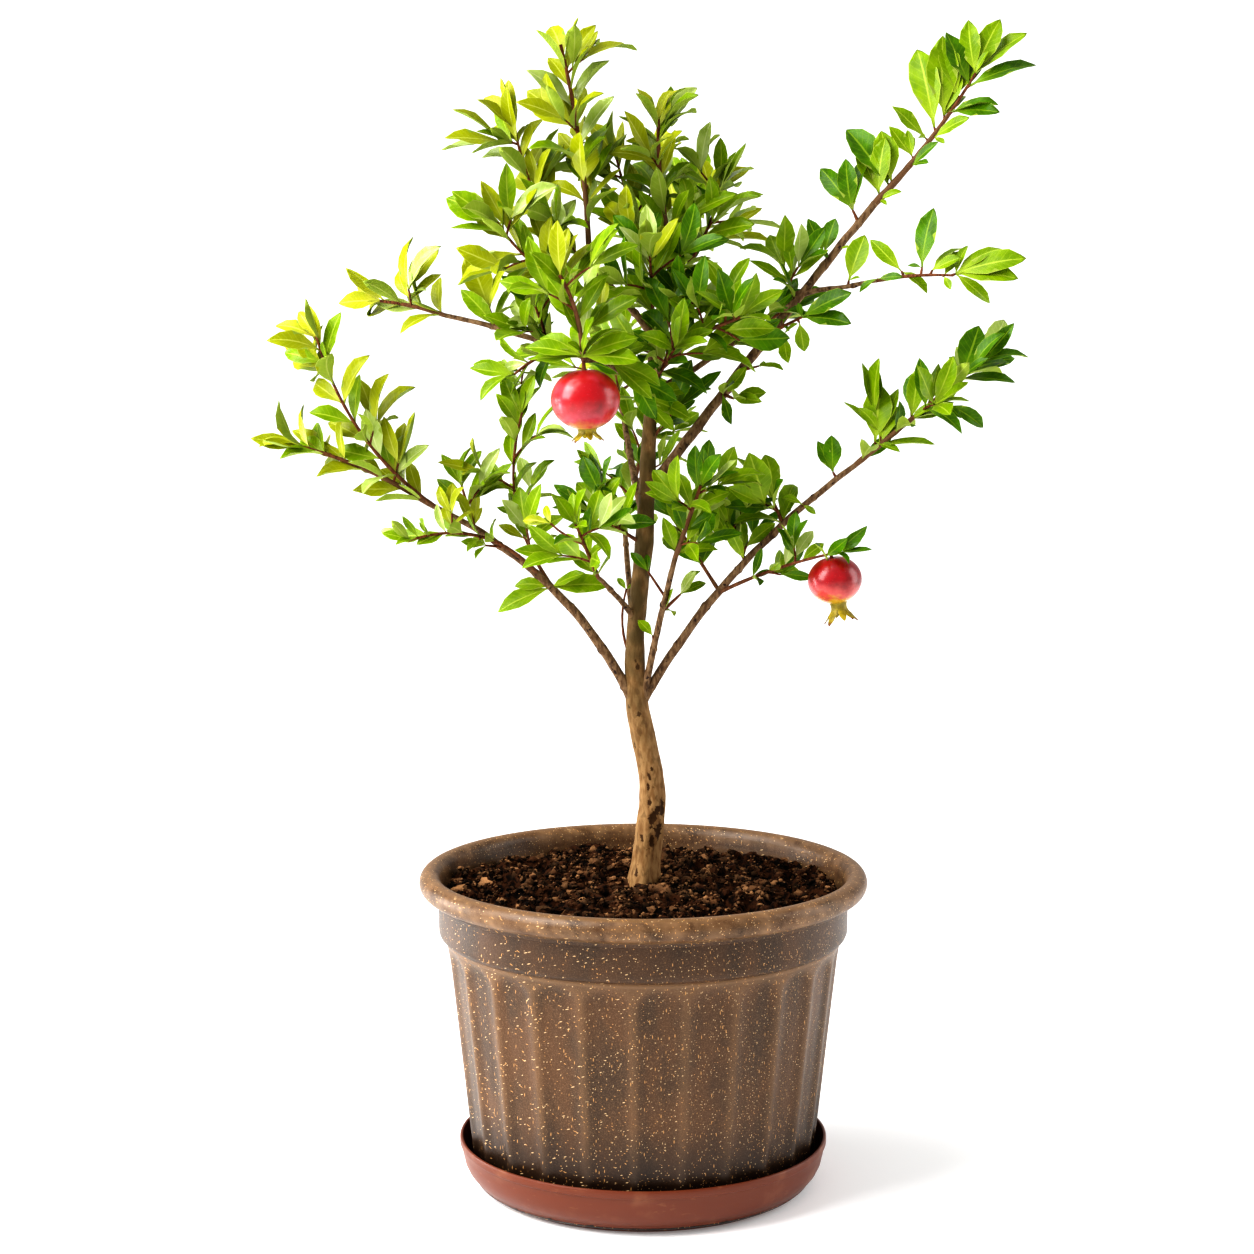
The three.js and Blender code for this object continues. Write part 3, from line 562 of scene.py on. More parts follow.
def spun(name: str, profile: list[Pair], steps: int) -> bpy.types.Object:
    """A solid of revolution about Z.

    Args:
        name: the piece's name.
        profile: radius and height of each point, from the axis to the axis, outside first.
        steps: how many columns to spin.

    Returns:
        The closed piece with its faces outwards.
    """
    tidy_selection()
    mesh = bpy.data.meshes.new(name)
    places = [(radius * MM, 0, height * MM) for radius, height in profile]
    mesh.from_pydata(places, [(i, i + 1) for i in range(len(places) - 1)], [])
    piece = linked(name, mesh)
    take(piece)
    bpy.ops.object.mode_set(mode="EDIT")
    bpy.ops.mesh.select_all(action="SELECT")
    bpy.ops.mesh.spin(steps=steps, angle=2 * math.pi, center=(0, 0, 0), axis=(0, 0, 1))
    bpy.ops.mesh.select_all(action="SELECT")
    bpy.ops.mesh.remove_doubles(threshold=0.00002)
    bpy.ops.mesh.normals_make_consistent(inside=False)
    bpy.ops.object.mode_set(mode="OBJECT")
    return piece


def arc(centre: Pair, radii: Pair, start: float, end: float, count: int) -> list[Pair]:
    """Points along an elliptical arc in a profile.

    Args:
        centre: its radius and height.
        radii: the half widths across and up.
        start: the first angle, in degrees from straight out.
        end: the last angle.
        count: how many points.

    Returns:
        The points.
    """
    turns = [math.radians(start + (end - start) * i / (count - 1)) for i in range(count)]
    return [(centre[0] + radii[0] * math.cos(t), centre[1] + radii[1] * math.sin(t)) for t in turns]


def places_of(piece: bpy.types.Object) -> np.ndarray:
    """Where the vertices of a piece are.

    Args:
        piece: the piece.

    Returns:
        A row for each vertex, in millimetres.
    """
    found = np.empty(len(piece.data.vertices) * 3)
    piece.data.vertices.foreach_get("co", found)
    return found.reshape(-1, 3) / MM


def move_places(piece: bpy.types.Object, places: np.ndarray) -> None:
    """Puts the vertices of a piece at new places, in millimetres."""
    piece.data.vertices.foreach_set("co", (places * MM).ravel())
    piece.data.update()


def polar(places: np.ndarray) -> tuple[np.ndarray, np.ndarray]:
    """The distance from the Z axis and the turn about it, in radians, of each place."""
    return np.hypot(places[:, 0], places[:, 1]), np.arctan2(places[:, 1], places[:, 0])


def noise_at(places: np.ndarray, size: float) -> np.ndarray:
    """Noise from -1 to 1 at each place, its features as large as the size, in millimetres."""
    return np.array([noise.noise(Vector(place / size)) for place in places])


def paint(piece: bpy.types.Object, name: str, values: np.ndarray) -> None:
    """Stores one number for each vertex, for a material to read."""
    layer = piece.data.attributes.new(name, "FLOAT", "POINT")
    layer.data.foreach_set("value", np.asarray(values, dtype=np.float32))


def smooth(piece: bpy.types.Object, angle: float) -> None:
    """Shades a piece smooth, but for its sharp edges.

    Args:
        piece: the piece.
        angle: the sharpest edge that is still smooth, in degrees.
    """
    take(piece)
    bpy.ops.object.shade_smooth_by_angle(angle=math.radians(angle))
    tidy_selection()


def dress(piece: bpy.types.Object, material: bpy.types.Material, angle: float, node: str) -> None:
    """Gives a finished piece its material and its shading, hangs it on the root, and hides the solid that it
    replaces.

    Args:
        piece: the piece.
        material: its material.
        angle: the sharpest edge that is shaded smooth, in degrees.
        node: the solid that it replaces.
    """
    piece.data.materials.append(material)
    smooth(piece, angle)
    tell_frame(piece, node)


def tell_frame(piece: bpy.types.Object, node: str) -> None:
    """Lets a piece ride on the root, and hides the solid that it replaces.

    Args:
        piece: the piece.
        node: the solid that it replaces.
    """
    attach(piece, "root")
    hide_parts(node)


def tube(points: np.ndarray, radii: np.ndarray, sides: int) -> tuple[np.ndarray, list[tuple[int, ...]]]:
    """A closed round tube along a row of points.

    Args:
        points: the middle of each ring.
        radii: the radius of each ring.
        sides: how many sides each ring has.

    Returns:
        Places and faces, the faces outwards.
    """
    frames = Path([Vector(p) for p in points]).frames(len(points) - 1)
    turns = np.arange(sides) * 2 * math.pi / sides
    rings = []
    for point, radius, (_, normal, binormal) in zip(points, radii, frames):
        ring = np.outer(np.cos(turns), normal) + np.outer(np.sin(turns), binormal)
        rings.append(np.asarray(point) + ring * radius)
    faces = []
    for i in range(len(points) - 1):
        for j in range(sides):
            k = (j + 1) % sides
            faces.append((i * sides + j, i * sides + k, (i + 1) * sides + k, (i + 1) * sides + j))
    last = (len(points) - 1) * sides
    faces.append(tuple(range(sides))[::-1])
    faces.append(tuple(last + j for j in range(sides)))
    return np.vstack(rings), faces


def joined(parts: list[tuple[np.ndarray, list[tuple[int, ...]]]]) -> tuple[np.ndarray, list[tuple[int, ...]]]:
    """Several meshes as one.

    Args:
        parts: places and faces of each.

    Returns:
        Places and faces of all of them.
    """
    places, faces, base = [], [], 0
    for part_places, part_faces in parts:
        places.append(part_places)
        faces.extend(tuple(v + base for v in face) for face in part_faces)
        base += len(part_places)
    return np.vstack(places), faces


# ---------------------------------------------------------------- finishes


@dataclass(frozen=True)
class Node:
    """A node of a material: its kind, its settings and links, and the output that is used.

    A setting goes by the name of a property, or by the name or number of an input. A Node is added in its
    turn and linked, a hex code becomes a linear colour, and anything else is set as it is.
    """

    kind: str
    settings: dict
    output: int | str = 0


def linear(code: str) -> tuple[float, ...]:
    """The linear colour, with an alpha of 1, of an sRGB hex code such as "8a4a35"."""
    values = [int(code[i : i + 2], 16) / 255 for i in (0, 2, 4)]
    return (*[v / 12.92 if v <= 0.04045 else ((v + 0.055) / 1.055) ** 2.4 for v in values], 1.0)


def add_node(tree: bpy.types.NodeTree, node: Node) -> bpy.types.NodeSocket:
    """Adds a node with its settings and links.

    Args:
        tree: the node tree.
        node: the node, with those that are linked to it.

    Returns:
        The output that is used.
    """
    made = tree.nodes.new(f"ShaderNode{node.kind}")
    for key, value in node.settings.items():
        if isinstance(key, str) and key not in made.inputs:
            setattr(made, key, value)
        elif isinstance(value, Node):
            tree.links.new(add_node(tree, value), made.inputs[key])
        else:
            made.inputs[key].default_value = linear(value) if isinstance(value, str) else value
    return made.outputs[node.output]


OBJECT = Node("TexCoord", {}, "Object")
MARKS = {  # what the meshes are marked with, vertex by vertex
    name: Node("Attribute", {"attribute_name": name}, "Fac")
    for name in ("scar", "age_and_shade", "wear_and_sheen", "foot_dark_and_shade", "dry_and_toplit", "tip")
}


def clouds(size: float, detail: float = 3, stretch: tuple[float, float, float] = (1, 1, 1)) -> Node:
    """Cloudy noise.

    Args:
        size: how large its clouds are, in millimetres.
        detail: how finely they break up.
        stretch: how far they are drawn out along each axis.

    Returns:
        The noise, from 0 to 1.
    """
    place = Node("Mapping", {"Vector": OBJECT, "Scale": tuple(1 / s for s in stretch)})
    return Node("TexNoise", {"Vector": place, "Scale": 1 / (size * MM), "Detail": detail})


def cover(pattern: Node, start: float, full: float, share: float = 1.0) -> Node:
    """How strongly a layer covers, where a pattern says so.

    Args:
        pattern: the pattern.
        start: its value where the layer starts to show.
        full: its value where the layer is complete.
        share: how much a complete layer covers.

    Returns:
        The cover, from 0 to the share.
    """
    climb = Node("MapRange", {
        "interpolation_type": "SMOOTHSTEP", "Value": pattern, "From Min": start, "From Max": full,
    })
    return climb if share == 1 else Node("Math", {"operation": "MULTIPLY", 0: climb, 1: share})


@dataclass(frozen=True)
class Finish:
    """A real material: its first colour, the colours that lie over it, its relief and its gloss."""

    name: str
    colour: str
    layers: tuple[tuple[str, Node], ...]  # each a colour and its cover
    relief: Node
    depth: float  # of the relief, in millimetres
    roughness: float
    ior: float
    specular: float = 0.5
    coat: float = 0.0
    coat_roughness: float = 0.03

    def material(self) -> bpy.types.Material:
        """Makes the material, its layers laid over one another in their order.

        Returns:
            The material.
        """
        material = bpy.data.materials.new(self.name)
        material.use_nodes = True
        tree = material.node_tree
        shader = tree.nodes["Principled BSDF"]
        for name, value in (
            ("Roughness", self.roughness), ("IOR", self.ior), ("Specular IOR Level", self.specular),
            ("Coat Weight", self.coat), ("Coat Roughness", self.coat_roughness),
        ):
            shader.inputs[name].default_value = value
        colour = self.colour
        for over, share in self.layers:
            colour = Node("Mix", {"data_type": "RGBA", 0: share, 6: colour, 7: over}, 2)
        bump = Node("Bump", {"Strength": 1.0, "Distance": self.depth * MM, "Height": self.relief})
        tree.links.new(add_node(tree, colour), shader.inputs["Base Color"])
        tree.links.new(add_node(tree, bump), shader.inputs["Normal"])
        return material


def leaf_skin(
    name: str, colour: str, mottle: str, rib: str, roughness: float = 0.38, coat: float = 0.12
) -> Finish:
    """A living leaf's skin. Its wax makes it satin, with a soft clear gloss, and paler at rib and margin.

    Args:
        name: the finish's name.
        colour: its green.
        mottle: the green of its clouds.
        rib: the colour of the rib, the margin and the faint side veins.
        roughness: how matt it is.
        coat: how strong the wax's gloss is.

    Returns:
        The finish.
    """
    flat = Node("UVMap", {"uv_map": "blade"})
    along = Node("SeparateXYZ", {0: flat}, "X")
    side = Node("SeparateXYZ", {0: flat}, "Y")
    across = Node("Math", {"operation": "MULTIPLY_ADD", 0: side, 1: 2.0, 2: -1.0})
    across = Node("Math", {"operation": "ABSOLUTE", 0: across})  # 0 on the rib and 1 on the margin
    wave = Node("Math", {"operation": "MULTIPLY_ADD", 0: across, 1: -0.16, 2: along})
    wave = Node("Math", {"operation": "SINE", 0: Node("Math", {"operation": "MULTIPLY", 0: wave, 1: 62.0})})
    veins = cover(wave, 0.72, 1.0, 0.16)
    lines = Node("Math", {"operation": "MAXIMUM", 0: cover(across, 0.1, 0.04), 1: cover(across, 0.93, 0.98)})
    layers = (
        (mottle, cover(clouds(11, 4), 0.35, 0.68)), (rib, cover(along, 0.5, 0.05, 0.45)), (rib, veins),
        (rib, Node("Math", {"operation": "MULTIPLY", 0: lines, 1: 0.75})),
    )
    sunk = Node("Math", {"operation": "MULTIPLY", 0: veins, 1: -0.35})
    return Finish(name, colour, layers, sunk, 0.3, roughness, 1.45, 0.12, coat, coat_roughness=0.22)


def bark(
    name: str, colour: str, pale: str, dark: str, grain: float, age_and_shade: str | None = None, flaking: float = 0.62
) -> Finish:
    """Bark. It is matt and streaked along the limb, with pale pores, darker flakes and dark scars.

    Args:
        name: the finish's name.
        colour: its brown.
        pale: the brown of its streaks and pores.
        dark: the brown of its flakes and scars.
        grain: the width of a streak, in millimetres.
        age_and_shade: the tint of older wood, and the trunk's painted shade higher up, where the mesh is
            marked for it.
        flaking: how strongly the flakes show.

    Returns:
        The finish.
    """
    pores = Node("TexVoronoi", {"Vector": OBJECT, "Scale": 1 / (grain * 1.3 * MM)}, "Distance")
    torn = Node("Math", {"operation": "MULTIPLY_ADD", 0: clouds(grain, 6), 1: 1.6, 2: -0.8})
    torn = Node("Math", {"operation": "ADD", 0: MARKS["scar"], 1: torn})  # the scar with a torn edge
    layers = [
        (pale, cover(clouds(grain, 6, (1, 1, 3)), 0.36, 0.62)),
        (dark, cover(clouds(grain * 1.7, 7, (1, 1, 1.8)), 0.55, 0.64, flaking)),
        (pale, cover(pores, 0.19, 0.1, 0.5)), (dark, cover(torn, 0.26, 0.42)),
    ]
    if age_and_shade:
        layers.append((age_and_shade, MARKS["age_and_shade"]))
    relief = clouds(grain * 0.7, 6, (1, 1, 2.6))
    return Finish(name, colour, tuple(layers), relief, grain * 0.22, roughness=0.7, ior=1.4, specular=0.25)


def fruit_skin(
    name: str, red: str, deep: str, blush_and_reflection: str, pale: str, middle: float, pale_end: float, blush_and_reflection_share: float
) -> Finish:
    """A pomegranate's leathery skin. It is glossy and red, pink in clouds and low down, partly its own
    colouring and partly a painted reflection of the white room, and pale at the calyx.

    Args:
        name: the finish's name.
        red: its red.
        deep: the darker red between the clouds.
        blush_and_reflection: its pink, partly its own and partly a painted reflection, which its fine pores
            have too.
        pale: the colour of its lower end.
        middle: the height from which it pales downwards, in millimetres.
        pale_end: how far below that height it is quite pale.
        blush_and_reflection_share: how strongly that pink shows.

    Returns:
        The finish.
    """
    height = Node("SeparateXYZ", {0: OBJECT}, "Z")
    ragged = Node("Math", {"operation": "MULTIPLY_ADD", 0: clouds(9, 4), 1: 0.016, 2: height})
    top, upper, lower, end = ((middle - pale_end * share) * MM for share in (0, 0.6, 0.8, 1))
    # Pink in clouds and below the middle: the fruit's own colouring and a painted reflection.
    patches = Node("Math", {
        "operation": "MAXIMUM", 0: cover(clouds(34), 0.5, 0.68), 1: cover(ragged, top, lower),
    })
    layers = (
        (red, cover(clouds(20), 0.3, 0.6)),
        (blush_and_reflection, Node("Math", {"operation": "MULTIPLY", 0: patches, 1: blush_and_reflection_share})),
        (pale, cover(ragged, upper, end)), (blush_and_reflection, cover(clouds(1.1, 2), 0.66, 0.72, 0.3)),
    )
    return Finish(name, deep, layers, clouds(5, 4), 0.2, 0.36, 1.46, 0.25, coat=0.7, coat_roughness=0.21)


def straws(
    turn: tuple[float, float, float], kept: float = 0.3, pitch: float = 2.0, length: float = 5.2
) -> Node:
    """Short straws that all lie along one direction.

    Args:
        turn: how they are turned, in degrees.
        kept: the share of cells that hold one.
        pitch: the width of a cell, in millimetres.
        length: a straw's length against its width.

    Returns:
        The cover, 1 on a straw: cells drawn out along one axis, and most of them dropped.
    """
    turned = tuple(math.radians(t) for t in turn)
    place = Node("Mapping", {
        "vector_type": "TEXTURE", "Vector": OBJECT, "Rotation": turned, "Scale": (1, 1, length),
    })
    cells = {"Vector": place, "Scale": 1 / (pitch * MM)}
    middle = Node("TexVoronoi", cells, "Distance")
    spot = Node("MapRange", {"Value": middle, "From Min": 0.19, "From Max": 0.12})
    chance = Node("SeparateColor", {0: Node("TexVoronoi", cells, "Color")})
    keep = Node("Math", {"operation": "LESS_THAN", 0: chance, 1: kept})
    return Node("Math", {"operation": "MULTIPLY", 0: spot, 1: keep})


# Moulded plant-fibre composite: brown and satin, paler on its ridges and rolled rim, partly worn and partly a
# painted sheen, with pale lines on its edges that are partly a painted highlight, darker towards the foot,
# and with painted shade on its band and inside.
# Five layers of straws, each turned its own way, give it its flecks.
COMPOSITE = Finish(
    "moulded_straw_composite", "3a2612",
    (
        ("50341a", cover(clouds(24, 4, (1, 1, 2.2)), 0.32, 0.66)),
        ("826446", cover(clouds(0.9), 0.45, 0.7, 0.4)),
        ("826446", MARKS["wear_and_sheen"]), ("1e120a", MARKS["foot_dark_and_shade"]), ("c09058", straws((12, 0, 0))),
        ("d8b88a", straws((62, 20, 15))), ("c09058", straws((-58, 35, 70))), ("c09058", straws((90, 25, 35))),
        ("d8b88a", straws((35, -70, 110), 0.26)),
    ),
    clouds(1.8, 4), depth=0.18, roughness=0.4, ior=1.5, specular=0.36,
)

# Injection-moulded polypropylene: an even satin terracotta, with a little dust and fine scuffs round it.
POLYPROPYLENE = Finish(
    "terracotta_polypropylene", "662f17",
    (
        ("88573a", cover(clouds(22, 6), 0.52, 0.95)),
        ("88573a", cover(clouds(3.5, 5, (3, 3, 1)), 0.62, 0.72, 0.35)),
    ),
    clouds(1.2), depth=0.05, roughness=0.42, ior=1.49, specular=0.4,
)

# Moist potting soil: nearly black and matt, with brown lumps and grains, paler where it has dried and where
# it stands higher, and with painted light on the tops of its clods.
POTTING_SOIL = Finish(
    "potting_soil", "0a0401",
    (
        ("3a2110", cover(clouds(7, 6), 0.42, 0.6)), ("a67c56", MARKS["dry_and_toplit"]),
        ("3a2110", cover(clouds(1.6, 4), 0.56, 0.7, 0.6)),
    ),
    clouds(2, 6), depth=1.0, roughness=0.85, ior=1.35, specular=0.15,
)

# The calyx's leathery skin: satin olive with straw-yellow patches and dry brown tips.
CALYX_SKIN = Finish(
    "calyx_skin", "786a08", (("a8941c", cover(clouds(6, 4), 0.35, 0.68)), ("6b3410", MARKS["tip"])),
    clouds(2), depth=0.15, roughness=0.5, ior=1.45,
)

# Bark: the trunk's turns dark olive higher up, which is painted shade and green light from the leaves, and
# the twigs' is red brown, and duller where they are thick.
TRUNK_BARK = bark("trunk_bark", "7b5a36", "96764e", "40280f", 3.2, "4e3f22", 0.4)
BOUGH_BARK = bark("bough_bark", "5b432c", "80664a", "33231a", 2.6)
TWIG_BARK = bark("twig_bark", "5a2f1c", "7a4a2c", "331a10", 2.0, "6b5036")


class Tint(Enum):
    """The tints of a leaf's faces, in the order of their material slots."""

    # The first three are one green in painted shade, in between and in painted light; the last one's pale
    # colour is a painted sheen.
    DEEP = 0
    GREEN = 1
    BRIGHT = 2
    YOUNG = 3
    UNDER = 4
    WAXY = 5


# Leaves: the deep, green and bright skins are one green in painted shade, in between and in painted light;
# the young skin is yellower, the waxy skin's pale colour is a painted sheen, and the underside is matt and
# paler.
LEAF_FINISHES = {
    Tint.DEEP: leaf_skin("leaf_skin_shaded", "3c6000", "4f7a00", "86a024"),
    Tint.GREEN: leaf_skin("leaf_skin_green", "688600", "7c9800", "acbc40"),
    Tint.BRIGHT: leaf_skin("leaf_skin_lit", "8a9204", "989e0a", "bcc054"),
    Tint.YOUNG: leaf_skin("leaf_skin_young", "aaaa20", "9ca422", "ccca60"),
    Tint.UNDER: leaf_skin("leaf_underside", "8c9e38", "7e9230", "abb660", 0.6, 0.0),
    Tint.WAXY: leaf_skin("leaf_skin_sheen", "94a84c", "a6b664", "c4cc8c", 0.34, 0.5),
}


# ---------------------------------------------------------------- leaves


@dataclass(frozen=True)
class LeafShape:
    """One pomegranate leaf of unit length along +X, face up, folded along its rib and curled at its tip."""

    fold: float  # how far the margins rise beside the rib, as a share of the half width
    curl: float  # how far the leaf turns down from base to tip, in radians
    width: float
    sway: float  # how far the tip bends to one side
    wave: float  # how far the margins ripple
    twist: float = 0.0  # how far the blade turns about its rib by the tip, in radians

    STATIONS = ((0.0, 0.07), (0.1, 0.12), (0.26, 0.56), (0.43, 0.92), (0.6, 1.0), (0.79, 0.74), (0.93, 0.3))
    AROUND = 6  # margin, half blade, rib, half blade, margin, and the keel underneath
    ACROSS = (1.0, 0.78, 0.5, 0.22, 0.0, 0.5)  # the map's place across the blade for each of them

    def places(self) -> np.ndarray:
        """The places round each station, then the tip.

        Returns:
            A row for each vertex.
        """
        half = self.width / 2
        rows = []
        for share, wide in self.STATIONS:
            edge = half * wide
            left = self.fold * edge + self.wave * edge * math.sin(9.5 * share)
            right = self.fold * edge + self.wave * edge * math.sin(8.0 * share + 2.4)
            swell = 0.11 * self.fold * edge
            section = [
                (edge, left), (edge * 0.55, left * 0.55 + swell), (0.0, -0.002),
                (-edge * 0.55, right * 0.55 + swell), (-edge, right), (0.0, -0.014 - 0.014 * (1 - share)),
            ]
            rows += [self.bent(share, y, z) for y, z in section]
        rows.append(self.bent(1.0, 0.0, 0.002))
        return np.array(rows)

    def bent(self, share: float, y: float, z: float) -> tuple[float, float, float]:
        """A point of the flat leaf, carried along its curl, its sway and its twist.

        Args:
            share: how far along the leaf it is.
            y: its place across the leaf.
            z: its height.

        Returns:
            The point's new place.
        """
        turned = self.twist * share
        y, z = y * math.cos(turned) - z * math.sin(turned), y * math.sin(turned) + z * math.cos(turned)
        turn = self.curl * share
        if abs(self.curl) > 1e-3:
            x, drop = math.sin(turn) / self.curl, (math.cos(turn) - 1) / self.curl
        else:
            x, drop = share, 0.0
        side = self.sway * share * share
        return x + z * math.sin(turn), y + side, drop + z * math.cos(turn)

    @classmethod
    def faces(cls) -> tuple[list[tuple[int, ...]], list[Tint | None]]:
        """The faces of a leaf and their tints.

        Returns:
            The vertex numbers of each face, and its tint, None where the leaf's own tint goes.
        """
        around, rows = cls.AROUND, len(cls.STATIONS)
        found, dealt = [], []
        for i in range(around):
            j = (i + 1) % around
            tint = None if i < 4 else Tint.UNDER
            for row in range(rows - 1):
                low, high = row * around, (row + 1) * around
                found.append((high + i, high + j, low + j, low + i))
                dealt.append(tint)
            low = (rows - 1) * around
            found.append((rows * around, low + j, low + i))
            dealt.append(tint)
        found.append(tuple(range(around)))
        dealt.append(Tint.UNDER)
        return found, dealt

    @classmethod
    def map(cls) -> np.ndarray:
        """The flat map of a leaf: along it and across it for each vertex."""
        rows = [(share, across) for share, _ in cls.STATIONS for across in cls.ACROSS]
        return np.array([*rows, (1.0, 0.5)])


LEAF_SHAPES = [
    LeafShape(0.3, 0.5, 0.34, 0.05, 0.12),
    LeafShape(0.42, 0.35, 0.32, -0.09, 0.16, 0.35),
    LeafShape(0.22, 0.85, 0.35, 0.1, 0.14, -0.3),
    LeafShape(0.5, -0.35, 0.31, 0.05, 0.1),
    LeafShape(0.18, 0.35, 0.4, -0.06, 0.2, 0.25),
    LeafShape(0.35, 1.1, 0.33, -0.12, 0.12, -0.45),
    LeafShape(0.28, 0.1, 0.3, 0.09, 0.08, 0.2),
    LeafShape(0.56, 0.7, 0.37, -0.04, 0.22),
    LeafShape(0.2, 0.4, 0.5, 0.03, 0.1),
]
OVAL = len(LEAF_SHAPES) - 1
BROAD = (0, 2, 4, 4, 7)


@dataclass
class Leaf:
    """One leaf's place on the plant."""

    root: Vector
    along: Vector
    normal: Vector
    length: float
    shape: int
    tint: Tint

    def point(self, share: float) -> Vector:
        """A point on its rib, taken as straight."""
        return self.root + self.along * (self.length * share)


class LeafMaker:
    """Joins leaves into one mesh, with a material for each tint."""

    def __init__(self, materials: dict[Tint, bpy.types.Material]) -> None:
        """Keeps the leaf's materials and its repeated shapes.

        Args:
            materials: one for each tint.
        """
        self.materials = materials
        self.shapes = [shape.places() for shape in LEAF_SHAPES]
        self.faces, self.tints = LeafShape.faces()

    def build(self, name: str, leaves: list[Leaf]) -> bpy.types.Object:
        """One piece that holds all the given leaves.

        Args:
            name: the piece's name.
            leaves: where they are.

        Returns:
            The piece.
        """
        count = len(self.shapes[0])
        places, faces, slots = [], [], []
        for i, leaf in enumerate(leaves):
            side = leaf.normal.cross(leaf.along).normalized()
            normal = leaf.along.cross(side)
            basis = np.array([tuple(leaf.along), tuple(side), tuple(normal)]) * leaf.length
            places.append(self.shapes[leaf.shape] @ basis + np.array(tuple(leaf.root)))
            faces.extend(tuple(v + i * count for v in face) for face in self.faces)
            slots.extend((tint or leaf.tint).value for tint in self.tints)
        piece = new_piece(name, np.vstack(places), faces)
        for tint in Tint:
            piece.data.materials.append(self.materials[tint])
        piece.data.polygons.foreach_set("material_index", np.array(slots, dtype=np.int32))
        piece.data.polygons.foreach_set("use_smooth", np.ones(len(faces), dtype=bool))
        corners = np.empty(len(piece.data.loops), dtype=np.int32)
        piece.data.loops.foreach_get("vertex_index", corners)
        flat = piece.data.uv_layers.new(name="blade")
        flat.data.foreach_set("uv", LeafShape.map()[corners % count].ravel())
        self.mark_margins(piece, count)
        return piece

    @staticmethod
    def mark_margins(piece: bpy.types.Object, count: int) -> None:
        """Keeps the edge between a leaf's face and its underside crisp.

        Args:
            piece: the joined leaves.
            count: how many vertices one leaf has.
        """
        ends = np.empty(len(piece.data.edges) * 2, dtype=np.int32)
        piece.data.edges.foreach_get("vertices", ends)
        local = ends.reshape(-1, 2) % count
        beside = np.isin(local % LeafShape.AROUND, (0, 4)) & (local < count - 1)
        along = np.abs(local[:, 0] - local[:, 1]) == LeafShape.AROUND
        layer = piece.data.attributes.new("sharp_edge", "BOOLEAN", "EDGE")
        layer.data.foreach_set("value", along & beside.all(axis=1))


# ---------------------------------------------------------------- the plant


